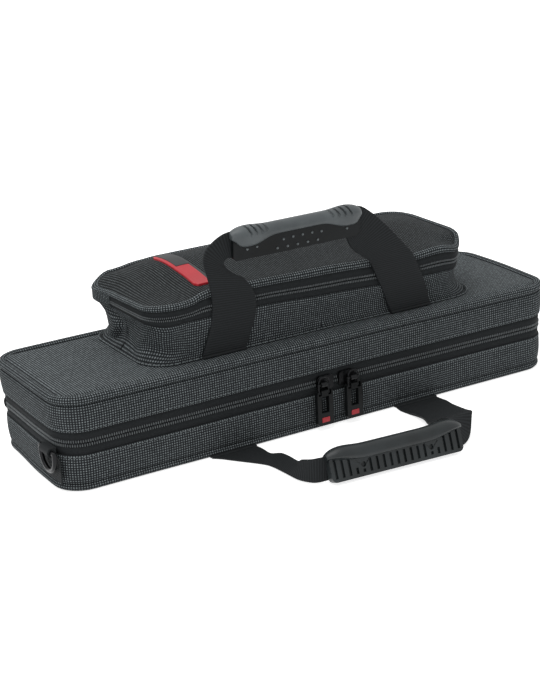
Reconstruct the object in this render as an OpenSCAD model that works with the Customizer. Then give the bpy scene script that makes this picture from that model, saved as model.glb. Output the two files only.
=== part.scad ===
// Soft zippered flute case: padded base and lid, a lid pocket with its own zip flap,
// two carry handles, D-rings and zip sliders. Origin at the centre of the underside,
// +X along the length to the right, -Y the front with the main zip pulls, +Z up.

/* [Case body] */
// Length of the case over its side fabric
case_l = 428; // [410:1:470]
// Width of the case, front to back
case_w = 124; // [118:1:150]
// Height of the closed case
case_h = 69.9; // [66:0.1:90]
// Plan radius of the case corners
corner_r = 22; // [18:1:30]
// Height of the line where the main zip parts
zip_z = 35.5; // [33:0.5:38]
// Thickness of the woven cover and its backing on the sides
fabric_t = 1.2; // [0.8:0.1:2]
// Thickness of the top and bottom cover panels
panel_t = 2; // [1.5:0.1:3]
// Thickness of the foam walls, floor and roof
foam_t = 7; // [5:0.5:9]
// Thickness of the plush pad in the lid
pad_t = 3; // [2:0.5:5]
// Size of the welt round the bottom edge
base_welt = 5.5; // [4.5:0.1:7]
// Size of the welt round the top edge
lid_welt_size = 6.5; // [5.5:0.1:8]
// How far the welts stand proud of the fabric
welt_proud = 0.5; // [0.2:0.1:1]

/* [Zips] */
// Height of each plain tape
tape_h = 5.6; // [4:0.1:8]
// Thickness of a tape
tape_t = 1; // [0.6:0.1:1.4]
// Depth of the tape behind the side fabric
tape_set = 0.6; // [0.3:0.1:1]
// Height of each half of the coil
coil_h = 2.6; // [2.2:0.1:4]
// Depth of a coil behind its face
coil_t = 2.4; // [2:0.1:3]
// Half of the gap between the parted coils
zip_gap = 0.2; // [0.15:0.05:0.4]
// Where the left slider stands when the case is shut
slider_left_x = -6; // [-12:1:-5]
// Where the right slider stands when the case is shut
slider_right_x = 20; // [17:1:30]
// Length of a slider along its zip
slider_l = 14; // [12:0.5:17]
// Radius of the wire in a pull's link
link_wire_r = 1.05; // [0.8:0.05:1.3]
// Width of a rubber pull
pull_w = 13.5; // [11:0.5:15]
// Length of a rubber pull
pull_l = 27.5; // [24:0.5:28]
// Thickness of a rubber pull
pull_t = 4; // [3:0.5:4.5]

/* [Insert] */
// Length of the recess for the flute's body
body_recess_l = 365; // [340:1:375]
// Width of the recess for the flute's body
body_recess_w = 34; // [28:1:38]
// Length of the recess for the head joint
head_recess_l = 236; // [220:1:240]
// Width of the recess for the head joint
head_recess_w = 29; // [24:1:34]
// Length of the recess for the foot joint
foot_recess_l = 142; // [120:1:145]
// Depth of the three recesses
recess_depth = 20; // [15:1:22]

/* [Lid pocket] */
// Where the middle of the pocket lies along the case
pocket_x = 9.5; // [0:0.5:15]
// Length of the pocket where it meets the lid
pocket_l = 287; // [270:1:300]
// How far the pocket's front stands behind the case's front
pocket_set = 18; // [18:0.5:22]
// How far the pocket's back stands in front of the case's back
pocket_back_set = 5; // [4:0.5:8]
// Height of the pocket's fabric wall
pocket_h = 29.4; // [26:0.1:36]
// How far the wall is drawn in half way up
pocket_waist = 3.5; // [0:0.5:5]
// Thickness of the pocket's padded wall
pocket_wall_t = 4; // [3:0.5:5]
// Length of the flap over its welt
flap_l = 283.5; // [280:0.5:286]
// Plan radius of the flap's corners
flap_r = 22; // [13:0.5:24]
// Size of the welt round the flap
flap_welt_size = 5.4; // [4.5:0.1:6.5]
// Height of the flap's crown
flap_crown = 6; // [2:0.1:8]
// Height of each half of the pocket zip's tape
pocket_tape_h = 4; // [3:0.5:5]
// Height of each half of the pocket zip's coil
pocket_coil_h = 1.9; // [1.6:0.1:2.5]
// Length of the label, front to back
label_l = 70; // [60:1:90]
// Width of the label
label_w = 14; // [10:0.5:20]
// How far the label's middle lies from the flap's left end
label_in = 53.5; // [30:0.5:80]
// Height of the label above the flap
label_h = 2.6; // [1.8:0.1:3.5]

/* [Handles] */
// Width of the webbing
webbing_w = 37; // [30:0.5:38]
// Thickness of the webbing
webbing_t = 2; // [1.6:0.1:2]
// Height of the top grip's spine over the line where its straps are sewn on
top_handle_h = 86.4; // [82:0.1:95]
// Reach of the bottom grip's spine in front of the line where its straps are sewn on
bottom_handle_l = 88.8; // [84:0.1:98]
// How much of the top handle's webbing is sewn down under the pocket
top_anchor_l = 30; // [20:1:40]
// How much of the bottom handle's webbing is sewn down under the case
bottom_anchor_l = 33.5; // [20:0.5:45]
// Middle of the top handle's left strap
top_left_x = -76; // [-80:1:-72]
// Middle of the top handle's right strap
top_right_x = 87.5; // [84:0.5:92]
// Middle of the bottom handle's left strap
bottom_left_x = -82.5; // [-86:0.5:-80]
// Middle of the bottom handle's right strap
bottom_right_x = 78.5; // [76:0.5:82]
// Length of a rubber grip
grip_l = 109; // [100:1:115]
// Radius of a grip's rounded spine
grip_r = 7.5; // [6.5:0.5:8]
// Distance from a grip's spine axis to the edge of its wing
grip_wing = 16.5; // [14:0.5:17]
// Thickness of a grip's wing
grip_wing_t = 7; // [6:0.5:8]
// Slots on each face of a grip's wing
grip_slots = 16; // [8:1:18]

/* [D-rings] */
// Radius of the D-ring's wire
ring_wire_r = 1.75; // [1.4:0.05:2]
// Outside width of a D-ring
ring_w = 27; // [25:0.5:32]
// Outside height of a D-ring
ring_h = 18.5; // [17.5:0.5:22]
// How far the D-rings' middle lies behind the case's front
ring_set = 19; // [17:1:42]

/* [Hidden] */

fabric_col = "#3a3f41";
welt_col = "#34393b";
webbing_col = "#26292a";
tape_col = "#1b1d1e";
coil_col = "#111213";
foam_col = "#2a2a2c";
plush_col = "#1d1d22";
rubber_col = "#4c5052";
metal_col = "#1f2122";
label_col = "#d2363c";

$fn = 64;
over = 1; // how far a cutter runs past what it cuts
clear = 0.4; // air between pieces that move past each other
bead_r = 1.2; // rolled fabric bead on a hinge line
arc_steps = 6; // points on each corner of the pocket's wall

// levels of the main body
tape_low_z = zip_z - zip_gap - coil_h - tape_h;
coil_low_z = zip_z - zip_gap - coil_h;
coil_high_z = zip_z + zip_gap + coil_h;
tape_high_z = coil_high_z + tape_h;
lid_face_z = case_h - 0.7;
foam_back = tape_set + tape_t;
coil_face = 0.3; // the coil's face behind the side fabric
coil_back = coil_face + coil_t;
foam_in = fabric_t + foam_t;
foam_gap = 0.5; // the foam's edge below or above the line where the zip parts
insert_z = zip_z - 1.5;
pad_z = zip_z + 1.5;
hinge_y = case_w / 2 + bead_r;
zip_end_y = case_w / 2 - corner_r;

// levels of the pocket
pocket_front = -case_w / 2 + pocket_set;
pocket_back = case_w / 2 - pocket_back_set;
pocket_r = corner_r;
pocket_top_z = lid_face_z + pocket_h;
pocket_coil_z = pocket_top_z + pocket_tape_h;
pocket_zip_z = pocket_coil_z + pocket_coil_h + zip_gap;
flap_coil_z = pocket_zip_z + zip_gap;
flap_tape_z = flap_coil_z + pocket_coil_h;
flap_welt_z = flap_tape_z + pocket_tape_h;
flap_front = pocket_front - 4;
flap_back = pocket_back;
flap_edge_z = flap_welt_z + flap_welt_size - 0.7;
flap_under_z = flap_welt_z + 0.5;
flap_hinge_y = flap_back + bead_r;
pocket_zip_end_y = 22;
pocket_tape_in = 0.8; // the zip's tape behind the flap's fabric
pocket_tape_t = 1.6;

// the hinge lines of the two handles
root_r = webbing_t / 2 + 0.1;
top_root_y = pocket_front - 3;
top_root_z = lid_face_z + root_r + 0.15;
bottom_root_y = -case_w / 2 - 3;
bottom_root_z = root_r + 0.1;

ring_y = case_w / 2 - ring_set;
ring_tab_r = ring_wire_r + 1.55; // outside of the webbing looped round a D-ring's bar
ring_x = case_l / 2 + ring_wire_r + 1.9;
ring_z = tape_low_z + 2.8;
ring_tab_w = 0.6 * (ring_w - 2 * ring_wire_r);

// Straps: each station is its middle and its reach across, both from the strap's root.
// The middles are millimetres on a handle of the usual size; the reach is a share of the
// webbing's width.
TOP_LEFT = [
    [[0, 0, 0], [1, 0, 0]],
    [[4.4, -0.2, 11], [0.98, 0, -0.04]],
    [[8.3, -1.2, 23], [0.99, 0, -0.03]],
    [[9.1, -2.6, 36], [0.97, -0.01, -0.05]],
    [[6.5, -4.5, 47.5], [0.92, 0.04, -0.12]],
    [[1.8, -5.7, 58], [0.84, 0.08, -0.22]],
    [[-4.4, -6.2, 67], [0.64, 0.11, -0.33]],
    [[-6.5, -6.7, 74], [0.41, 0.08, -0.37]],
    [[-1.5, -7.2, 79.6], [0.22, 0.05, -0.43]],
    [[5.5, -7.7, 81.5], [0.08, 0.03, -0.5]],
    [[13, -8, 82], [0, 0, -0.5]]
];
TOP_RIGHT = [
    [[0, 0, 0], [1, 0, 0]],
    [[-3.2, -0.4, 10.5], [1, 0, 0.02]],
    [[-6.5, -1.6, 19.5], [1, -0.02, 0.03]],
    [[-14, -3.4, 34.2], [1, -0.04, 0.06]],
    [[-21, -5.4, 46], [0.98, -0.06, 0.08]],
    [[-31.5, -6.8, 57], [0.87, -0.06, 0.24]],
    [[-41, -7.2, 66.5], [0.73, -0.05, 0.43]],
    [[-49, -7.6, 75], [0.5, -0.03, 0.56]],
    [[-55, -8, 80.5], [0.2, 0, 0.56]],
    [[-62, -8, 81.5], [0, 0, 0.52]]
];
BOTTOM_LEFT = [
    [[0, 0, 0], [1, 0, 0]],
    [[2.5, -6, 0], [0.95, -0.05, 0]],
    [[5.5, -16.5, 0.2], [0.74, -0.16, 0.01]],
    [[13.5, -29.5, 1.3], [0.5, 0.03, 0.07]],
    [[15, -40, 2.3], [0.4, -0.04, 0.13]],
    [[13, -59.5, 5], [0.2, -0.1, 0.27]],
    [[12.5, -70, 7], [0.12, 0.05, 0.37]],
    [[15.5, -80.5, 8.6], [0.03, 0.05, 0.46]],
    [[23, -84, 9], [0, 0.1, 0.48]],
    [[31, -85.5, 9.3], [0, 0.12, 0.48]]
];
BOTTOM_RIGHT = [
    [[0, 0, 0], [1, 0, 0]],
    [[0, -7, 0], [1, 0, 0]],
    [[-2.5, -20, 2.6], [0.86, -0.05, 0.08]],
    [[-7, -37.3, 6.3], [0.78, 0.04, 0.08]],
    [[-14.5, -60, 11], [0.81, -0.22, 0.15]],
    [[-18.7, -73, 15.2], [0.69, -0.26, 0.08]],
    [[-19.7, -80, 13], [0.58, -0.22, -0.28]],
    [[-23, -85, 9.6], [0.35, -0.2, -0.48]],
    [[-29.5, -88.5, 9.4], [0.11, -0.18, -0.5]],
    [[-37.5, -89.2, 9.5], [0.03, -0.16, -0.5]]
];

// where each grip's spine lies from its handle's hinge line: place, then turns
TOP_GRIP = [[-16.7, -8.2, 86.4], [6, 0, 0]];
BOTTOM_GRIP = [[-4, -88.8, 15.8], [-20, 0, -3.7]];
top_size = top_handle_h / TOP_GRIP[0][2];
bottom_size = -bottom_handle_l / BOTTOM_GRIP[0][1];

// ---- shared shapes ----

module plan(l, w, r) {
    square([l - 2 * r, w], center = true);
    square([l, w - 2 * r], center = true);
    for (sx = [-1, 1], sy = [-1, 1])
        translate([sx * (l / 2 - r), sy * (w / 2 - r)]) circle(r);
}

module slab(l, w, r, low, high) {
    translate([0, 0, low]) linear_extrude(high - low) plan(l, w, r);
}

module case_slab(inset, low, high) {
    slab(case_l - 2 * inset, case_w - 2 * inset, corner_r - inset, low, high);
}

module case_ring(inset, t, low, high) {
    difference() {
        case_slab(inset, low, high);
        case_slab(inset + t, low - over, high + over);
    }
}

// runs a profile round a rounded rectangle: its x points outwards from the outline, its y up
module edge_run(l, w, r) {
    for (turn = [0, 180]) rotate(turn) {
        translate([-(l / 2 - r), w / 2, 0]) rotate([90, 0, 90])
            linear_extrude(l - 2 * r) children();
        rotate(90) translate([-(w / 2 - r), l / 2, 0]) rotate([90, 0, 90])
            linear_extrude(w - 2 * r) children();
    }
    for (n = [0:3]) {
        sx = n == 0 || n == 3 ? 1 : -1;
        sy = n < 2 ? 1 : -1;
        translate([sx * (l / 2 - r), sy * (w / 2 - r), 0]) rotate(90 * n)
            rotate_extrude(angle = 90) translate([r, 0]) children();
    }
}

// a round cord covered in fabric, flat where the panel and the band are sewn to it
module welt_profile(size) {
    r = 0.6 * size;
    intersection() {
        translate([welt_proud - r, r]) circle(r);
        translate([-size, 0]) square([size + over, size]);
    }
}

module lid_welt_profile(size, top) {
    translate([0, top]) mirror([0, 1]) welt_profile(size);
}

// everything behind a line, for what stops or starts at the back of the case
module behind(y) {
    translate([-case_l, y, -over]) cube([2 * case_l, case_w, 3 * case_h]);
}

module bead(l, y, z) {
    translate([-l / 2, y, z]) rotate([0, 90, 0]) cylinder(h = l, r = bead_r);
}

module strap_gap(x, y, w, d, low, high) {
    translate([x - w / 2, y, low]) cube([w, d, high - low]);
}

// webbing through a list of stations, a little thicker where it is folded double
module webbing(stations) {
    n = len(stations);
    function unit(v) = v / norm(v);
    function middle(i) = stations[i][0];
    function along(i) = unit(middle(min(i + 1, n - 1)) - middle(max(i - 1, 0)));
    function across(i) = stations[i][1] * webbing_w / 2;
    function face(i) = unit(cross(along(i), across(i))) * webbing_t / 2;
    points = [for (i = [0:n - 1]) each [
        middle(i) - across(i) - face(i), middle(i) + across(i) - face(i),
        middle(i) + across(i) + face(i), middle(i) - across(i) + face(i)]];
    sides = [for (i = [0:n - 2], k = [0:3]) let (a = 4 * i + k, b = 4 * i + (k + 1) % 4)
        each [[a, a + 4, b + 4], [a, b + 4, b]]];
    last = 4 * (n - 1);
    polyhedron(points, concat(sides, [[0, 1, 2], [0, 2, 3]],
        [[last, last + 2, last + 1], [last, last + 3, last + 2]]), convexity = 6);
}

module strap(stations, size, x, y, z) {
    color(webbing_col) translate([x, y, z]) {
        webbing([for (s = stations) [s[0] * size, s[1]]]);
        translate([-webbing_w / 2, 0, 0]) rotate([0, 90, 0]) cylinder(h = webbing_w, r = root_r);
    }
}

// ---- base ----

module bottom_strap_cuts(w, high) {
    for (x = [bottom_left_x, bottom_right_x])
        strap_gap(x, -case_w / 2 - 2 * over, w, bottom_anchor_l + over / 2, -over, high);
}

module base_panel() {
    color(fabric_col) difference() {
        case_slab(base_welt, 0, panel_t);
        bottom_strap_cuts(webbing_w, panel_t + over);
    }
}

module base_band() {
    color(fabric_col) case_ring(0, fabric_t, base_welt, tape_low_z);
}

module base_welt_cord() {
    color(welt_col) difference() {
        edge_run(case_l, case_w, corner_r) welt_profile(base_welt);
        bottom_strap_cuts(webbing_w + 1, panel_t + 0.4);
    }
}

module base_foam() {
    color(foam_col) difference() {
        union() {
            case_slab(base_welt, panel_t, base_welt);
            case_slab(fabric_t, base_welt, tape_low_z);
            case_slab(foam_back, tape_low_z, coil_low_z);
            case_slab(coil_back, coil_low_z, zip_z - foam_gap);
        }
        case_slab(foam_in, panel_t + foam_t, case_h);
    }
}

module recess(x, y, l, w) {
    translate([x, y, 0]) slab(l, w, 6, insert_z - recess_depth, insert_z + over);
}

// body recess in front, head joint and foot joint behind it
module base_insert() {
    inside_l = case_l - 2 * foam_in;
    inside_w = case_w - 2 * foam_in;
    gap = (inside_w - body_recess_w - head_recess_w) / 3;
    front_y = -inside_w / 2 + gap + body_recess_w / 2;
    back_y = inside_w / 2 - gap - head_recess_w / 2;
    ends = (inside_l - head_recess_l - foot_recess_l) / 3;
    color(plush_col) difference() {
        case_slab(foam_in, panel_t + foam_t, insert_z);
        recess(0, front_y, body_recess_l, body_recess_w);
        recess(-inside_l / 2 + ends + head_recess_l / 2, back_y, head_recess_l, head_recess_w);
        recess(inside_l / 2 - ends - foot_recess_l / 2, back_y, foot_recess_l, head_recess_w);
    }
}

module zip_tape_lower() {
    color(tape_col) case_ring(tape_set, tape_t, tape_low_z, coil_low_z);
}

module main_coil(low, high) {
    edge_run(case_l, case_w, corner_r) translate([-coil_back, low]) square([coil_t, high - low]);
}

module zip_coil_lower() {
    color(coil_col) difference() {
        main_coil(coil_low_z, zip_z - zip_gap);
        behind(zip_end_y);
    }
}

module hinge_tape_lower() {
    color(tape_col) {
        intersection() {
            main_coil(coil_low_z, zip_z - zip_gap);
            behind(zip_end_y);
        }
        l = case_l - 2 * corner_r;
        bead(l, hinge_y, zip_z);
        translate([-l / 2, case_w / 2 - 0.4, coil_low_z + over])
            cube([l, bead_r + 0.4, coil_h - over]);
    }
}

module d_ring_patch(side) {
    t = 0.8;
    x = side * (case_l / 2 + t / 2);
    low = base_welt + 2;
    high = ring_z - ring_tab_r;
    color(webbing_col) translate([x, side * ring_y, (low + high) / 2])
        cube([t, ring_w, high - low], center = true);
}

// a short webbing tab sewn under the zip tape, looped round the D-ring's bar
module d_ring_tab(side) {
    w = ring_tab_w;
    color(webbing_col) translate([side * ring_x, side * ring_y, ring_z]) rotate([90, 0, 0])
        difference() {
            union() {
                cylinder(h = w, r = ring_tab_r, center = true);
                translate([-side * (ring_x - case_l / 2) / 2, 0, 0])
                    cube([ring_x - case_l / 2, 2 * ring_tab_r, w], center = true);
            }
            cylinder(h = w + 2 * over, r = ring_wire_r + 0.05, center = true);
        }
}

module bottom_strap_anchor(x) {
    color(webbing_col)
        strap_gap(x, -case_w / 2 - 1.5 * over, webbing_w, bottom_anchor_l, 0, panel_t);
}

// ---- lid ----

module lid_panel() {
    color(fabric_col) case_slab(lid_welt_size, lid_face_z - panel_t, lid_face_z);
}

module lid_band() {
    color(fabric_col) case_ring(0, fabric_t, tape_high_z, case_h - lid_welt_size);
}

module lid_welt_cord() {
    color(welt_col) edge_run(case_l, case_w, corner_r) lid_welt_profile(lid_welt_size, case_h);
}

module lid_foam() {
    roof_z = lid_face_z - panel_t;
    color(foam_col) difference() {
        union() {
            case_slab(coil_back, zip_z + foam_gap, coil_high_z);
            case_slab(foam_back, coil_high_z, tape_high_z);
            case_slab(fabric_t, tape_high_z, case_h - lid_welt_size);
            case_slab(lid_welt_size, case_h - lid_welt_size, roof_z);
        }
        case_slab(foam_in, 0, roof_z - foam_t);
    }
}

module lid_pad() {
    roof_z = lid_face_z - panel_t - foam_t;
    color(plush_col) difference() {
        case_slab(foam_in, pad_z, roof_z);
        case_slab(foam_in + pad_t, 0, roof_z - pad_t);
    }
}

module zip_tape_upper() {
    color(tape_col) case_ring(tape_set, tape_t, coil_high_z, tape_high_z);
}

module zip_coil_upper() {
    color(coil_col) difference() {
        main_coil(zip_z + zip_gap, coil_high_z);
        behind(zip_end_y);
    }
}

module hinge_tape_upper() {
    color(tape_col) intersection() {
        main_coil(zip_z + zip_gap, coil_high_z);
        behind(zip_end_y);
    }
}

module top_strap_anchor(x) {
    color(webbing_col)
        strap_gap(x, top_root_y + root_r + clear, webbing_w, top_anchor_l,
            lid_face_z, lid_face_z + webbing_t);
}

module top_strap_cuts() {
    for (x = [top_left_x, top_right_x])
        strap_gap(x, pocket_front - 6, webbing_w + 2, 14, lid_face_z - over, lid_face_z + webbing_t + 0.4);
}

// ---- lid pocket ----

// points round a rounded rectangle between two lines across the case, at one height
function outline(l, front, back, r, z) = [for (n = [0:3], s = [0:arc_steps])
    let (sx = n == 0 || n == 3 ? 1 : -1, cy = n < 2 ? back - r : front + r, a = 90 * (n + s / arc_steps))
    [sx * (l / 2 - r) + r * cos(a), cy + r * sin(a), z]];

module loft(levels) {
    rings = [for (v = levels) each outline(v[1], v[2], v[3], v[4], v[0])];
    n = 4 * (arc_steps + 1);
    top = n * (len(levels) - 1);
    sides = [for (i = [0:len(levels) - 2], k = [0:n - 1])
        let (a = n * i + k, b = n * i + (k + 1) % n) each [[a, a + n, b + n], [a, b + n, b]]];
    polyhedron(rings, concat(sides, [[for (k = [0:n - 1]) k], [for (k = [n - 1:-1:0]) top + k]]),
        convexity = 4);
}

// the wall is drawn in at its waist and leans out to the flap at its top
function wall_levels(t, low, high) = [
    [low, pocket_l - 2 * t, pocket_front + t, pocket_back - t, pocket_r - t],
    [lid_face_z + 0.35 * pocket_h, pocket_l - 2 * t - 1.4 * pocket_waist,
        pocket_front + t + 0.2 * pocket_waist, pocket_back - t - 0.2 * pocket_waist, pocket_r - t - 1],
    [lid_face_z + 0.7 * pocket_h, pocket_l - 2 * t - 2 * pocket_waist, pocket_front + t + 0.1 * pocket_waist,
        pocket_back - t - 0.3 * pocket_waist, pocket_r - t - 2],
    [high, flap_l + 1 - 2 * t, flap_front + 1.5 + t, flap_back - t, flap_r + 1.5 - t]
];

// the room that the lid's welt takes under the back of the pocket
module lid_welt_room() {
    d = lid_welt_size + 0.2;
    translate([-case_l, case_w / 2 - d, 0]) cube([2 * case_l, d + over, case_h + 0.1]);
}

module pocket_wall() {
    color(fabric_col) translate([pocket_x, 0, 0]) difference() {
        loft(wall_levels(0, lid_face_z, pocket_top_z));
        loft(wall_levels(pocket_wall_t, lid_face_z - over, pocket_top_z + over));
        translate([-pocket_x, 0, 0]) top_strap_cuts();
        lid_welt_room();
    }
}

module pocket_run(front, back, l, r) {
    translate([pocket_x, (front + back) / 2, 0]) edge_run(l, back - front, r) children();
}

module pocket_base_welt() {
    size = 1.8;
    color(welt_col) difference() {
        pocket_run(pocket_front, pocket_back, pocket_l, pocket_r) translate([0, lid_face_z])
            intersection() {
                circle(size);
                square(size);
            }
        top_strap_cuts();
        lid_welt_room();
    }
}

// a profile run round under the flap, set back from the flap's edge
module flap_run(inset) {
    pocket_run(flap_front + inset + 1, flap_back - inset, flap_l - 2 * inset, flap_r - inset) children();
}

module pocket_tape(low, high) {
    flap_run(pocket_tape_in) translate([-pocket_tape_t, low]) square([pocket_tape_t, high - low]);
}

module pocket_coil(low, high) {
    flap_run(pocket_tape_in) translate([-pocket_tape_t, low]) square([pocket_tape_t + 0.4, high - low]);
}

module pocket_tape_lower() {
    color(tape_col) pocket_tape(pocket_top_z, pocket_coil_z);
}

module pocket_coil_lower() {
    color(coil_col) difference() {
        pocket_coil(pocket_coil_z, pocket_coil_z + pocket_coil_h);
        behind(pocket_zip_end_y);
    }
}

module pocket_hinge_tape_lower() {
    l = flap_l - 2 * flap_r;
    color(tape_col) {
        intersection() {
            pocket_coil(pocket_coil_z, pocket_coil_z + pocket_coil_h);
            behind(pocket_zip_end_y);
        }
        translate([pocket_x, 0, 0]) {
            bead(l, flap_hinge_y, pocket_zip_z);
            translate([-l / 2, flap_back - 0.6, pocket_coil_z + 0.4])
                cube([l, bead_r + 0.6, pocket_coil_h - 0.6]);
        }
    }
}

// ---- flap ----

module flap_slab(inset, low, high) {
    translate([pocket_x, (flap_front + flap_back) / 2, 0])
        slab(flap_l - 2 * inset, flap_back - flap_front - 2 * inset, flap_r - inset, low, high);
}

// the padded top of the flap, crowned, or the same crown raised by a little
CROWN = [[5, 0.45], [12, 0.75], [22, 0.93], [35, 1]]; // inset from the welt, share of the height
module crown(raise) {
    function half(inset) = (flap_back - flap_front) / 2 - flap_welt_size - inset;
    function level(z, inset) = [z, flap_l - 2 * (flap_welt_size + inset), flap_front + flap_welt_size + inset,
        flap_back - flap_welt_size - inset, min(flap_r - flap_welt_size, 0.7 * half(inset))];
    top = flap_edge_z + raise;
    translate([pocket_x, 0, 0]) loft([level(flap_under_z, 0), level(top, 0),
        for (step = CROWN) level(top + step[1] * flap_crown, step[0])]);
}

module flap_panel() {
    color(fabric_col) crown(0);
}

module flap_welt_cord() {
    color(welt_col) pocket_run(flap_front, flap_back, flap_l, flap_r)
        lid_welt_profile(flap_welt_size, flap_welt_z + flap_welt_size);
}

module pocket_tape_upper() {
    color(tape_col) pocket_tape(flap_tape_z, flap_welt_z);
}

module pocket_coil_upper() {
    color(coil_col) difference() {
        pocket_coil(flap_coil_z, flap_tape_z);
        behind(pocket_zip_end_y);
    }
}

module pocket_hinge_tape_upper() {
    color(tape_col) intersection() {
        pocket_coil(flap_coil_z, flap_tape_z);
        behind(pocket_zip_end_y);
    }
}

label_x = pocket_x - flap_l / 2 + label_in;
label_y = (flap_front + flap_back) / 2 + 3.5;
label_rim = 2.6;

module label_block(rim) {
    w = label_w / 2 - rim;
    l = label_l / 2 - rim;
    cut = 4;
    translate([label_x, label_y, flap_under_z]) linear_extrude(3 * flap_crown + label_h)
        polygon([[-w + cut, -l], [w - cut, -l], [w, -l + cut], [w, l - cut],
            [w - cut, l], [-w + cut, l], [-w, l - cut], [-w, -l + cut]]);
}

module label_frame() {
    color(label_col) difference() {
        intersection() {
            crown(label_h);
            label_block(0);
        }
        crown(0);
        difference() {
            label_block(label_rim);
            crown(label_h / 2);
        }
    }
}

module label_inlay() {
    color(coil_col) difference() {
        intersection() {
            crown(label_h - 0.3);
            label_block(label_rim);
        }
        crown(label_h / 2);
    }
}

// ---- handles ----

// a rubber grip moulded over the webbing: a round spine with a ribbed wing below it
module grip() {
    straight = grip_l - 2 * grip_r;
    wing_l = grip_l - 6;
    corner = 4;
    slot_w = 1.8;
    slot_deep = 1.4;
    slot_h = 0.55 * grip_wing;
    pitch = (wing_l - 4 * corner) / (grip_slots - 1);
    color(rubber_col) difference() {
        union() {
            rotate([0, 90, 0]) cylinder(h = straight, r = grip_r, center = true);
            for (side = [-1, 1]) translate([side * straight / 2, 0, 0]) sphere(grip_r);
            translate([0, grip_wing_t / 2, -grip_wing / 2]) rotate([90, 0, 0])
                linear_extrude(grip_wing_t) plan(wing_l, grip_wing, corner);
        }
        for (n = [0:grip_slots - 1], side = [-1, 1])
            translate([(n - (grip_slots - 1) / 2) * pitch, side * grip_wing_t / 2,
                -grip_wing + 1.5 + slot_h / 2]) cube([slot_w, 2 * slot_deep, slot_h], center = true);
        for (n = [0:3], side = [-1, 1])
            translate([side * (straight / 2 - 3.5 * n), -2, grip_r]) cube([1.3, 9, 3], center = true);
    }
}

module placed_grip(place, size, y, z) {
    translate([0, y, z]) translate(place[0] * size) rotate(place[1]) grip();
}

// ---- D-rings ----

module d_ring(side) {
    reach = ring_w / 2 - ring_wire_r;
    leg = ring_h - 2 * ring_wire_r - reach;
    color(metal_col) translate([side * ring_x, side * ring_y, ring_z]) {
        rotate([90, 0, 0]) cylinder(h = 2 * reach, r = ring_wire_r, center = true);
        for (end = [-1, 1]) translate([0, end * reach, 0]) {
            sphere(ring_wire_r);
            translate([0, 0, -leg]) cylinder(h = leg, r = ring_wire_r);
        }
        translate([0, 0, -leg]) rotate([0, 90, 0]) rotate(-90)
            rotate_extrude(angle = 180) translate([reach, 0]) circle(ring_wire_r);
    }
}

// ---- sliders, links and pulls: each is made at its own lug's axis, facing -Y ----

lug_out = 4.9; // from the fabric's face to the lug's axis
lug_shift = 3.5; // from a main slider's middle to its lug, which stands nearer its outer end
slider_t = 2.2;
slider_h = 11;
link_w = 10.5;
link_h = 6.6;

module slider(shift) {
    lug_r = link_wire_r + 1.1;
    color(metal_col) difference() {
        union() {
            translate([shift, lug_out - 0.1, 0]) rotate([90, 0, 0])
                linear_extrude(slider_t) plan(slider_l, slider_h, 3);
            rotate([0, 90, 0]) cylinder(h = 5, r = lug_r, center = true);
            translate([-2.5, 0, -lug_r]) cube([5, lug_out - slider_t + 0.5, 2 * lug_r]);
        }
        rotate([0, 90, 0]) cylinder(h = 5 + 2 * over, r = link_wire_r + 0.05, center = true);
    }
}

// a wire link that turns in the slider's lug and carries the rubber pull
module zip_link() {
    half = link_w / 2 - link_wire_r;
    color(metal_col) for (z = [0, -link_h]) {
        translate([0, 0, z]) rotate([0, 90, 0]) cylinder(h = 2 * half, r = link_wire_r, center = true);
        for (side = [-1, 1]) translate([side * half, 0, z]) {
            sphere(link_wire_r);
            if (z == 0) translate([0, 0, -link_h]) cylinder(h = link_h, r = link_wire_r);
        }
    }
}

module zip_pull() {
    top = -link_h + link_wire_r + 1.4;
    eye_w = link_w + 0.6;
    color(metal_col) difference() {
        translate([0, pull_t / 2, top - pull_l / 2]) rotate([90, 0, 0])
            linear_extrude(pull_t) plan(pull_w, pull_l, 2.5);
        translate([0, 0, -link_h]) rotate([0, 90, 0])
            cylinder(h = link_w - 2 * link_wire_r, r = link_wire_r, center = true);
        for (side = [-1, 1]) translate([side * (link_w / 2 - link_wire_r), 0, -link_h + 1])
            cube([2 * link_wire_r + 0.6, pull_t + over, 2 * link_wire_r + 2.6], center = true);
        translate([0, 0, top - 0.405 * pull_l])
            cube([0.48 * pull_w, pull_t + 2 * over, 0.47 * pull_l], center = true);
    }
}

lug_z = zip_z + 0.2;

module at_main(x) {
    translate([x, -case_w / 2 - lug_out, lug_z]) children();
}

pocket_slider_y = pocket_zip_end_y - slider_l / 2; // at the zip's end, round the pocket's right end
module at_pocket() {
    translate([pocket_x + flap_l / 2 + lug_out, pocket_slider_y, pocket_zip_z]) rotate(90) children();
}

base_panel();
base_band();
base_welt_cord();
base_foam();
base_insert();
zip_tape_lower();
zip_coil_lower();
hinge_tape_lower();
d_ring_patch(-1);  // d_ring_patch_left
d_ring_patch(1);  // d_ring_patch_right
d_ring_tab(-1);  // d_ring_tab_left
d_ring_tab(1);  // d_ring_tab_right
bottom_strap_anchor(bottom_left_x);  // bottom_strap_anchor_left
bottom_strap_anchor(bottom_right_x);  // bottom_strap_anchor_right
lid_panel();
lid_band();
lid_welt_cord();
lid_foam();
lid_pad();
zip_tape_upper();
zip_coil_upper();
hinge_tape_upper();
top_strap_anchor(top_left_x);  // top_strap_anchor_left
top_strap_anchor(top_right_x);  // top_strap_anchor_right
pocket_wall();
pocket_base_welt();
pocket_tape_lower();
pocket_coil_lower();
pocket_hinge_tape_lower();
flap_panel();
flap_welt_cord();
pocket_tape_upper();
pocket_coil_upper();
pocket_hinge_tape_upper();
label_frame();
label_inlay();
strap(TOP_LEFT, top_size, top_left_x, top_root_y, top_root_z);  // top_strap_left
strap(TOP_RIGHT, top_size, top_right_x, top_root_y, top_root_z);  // top_strap_right
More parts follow.
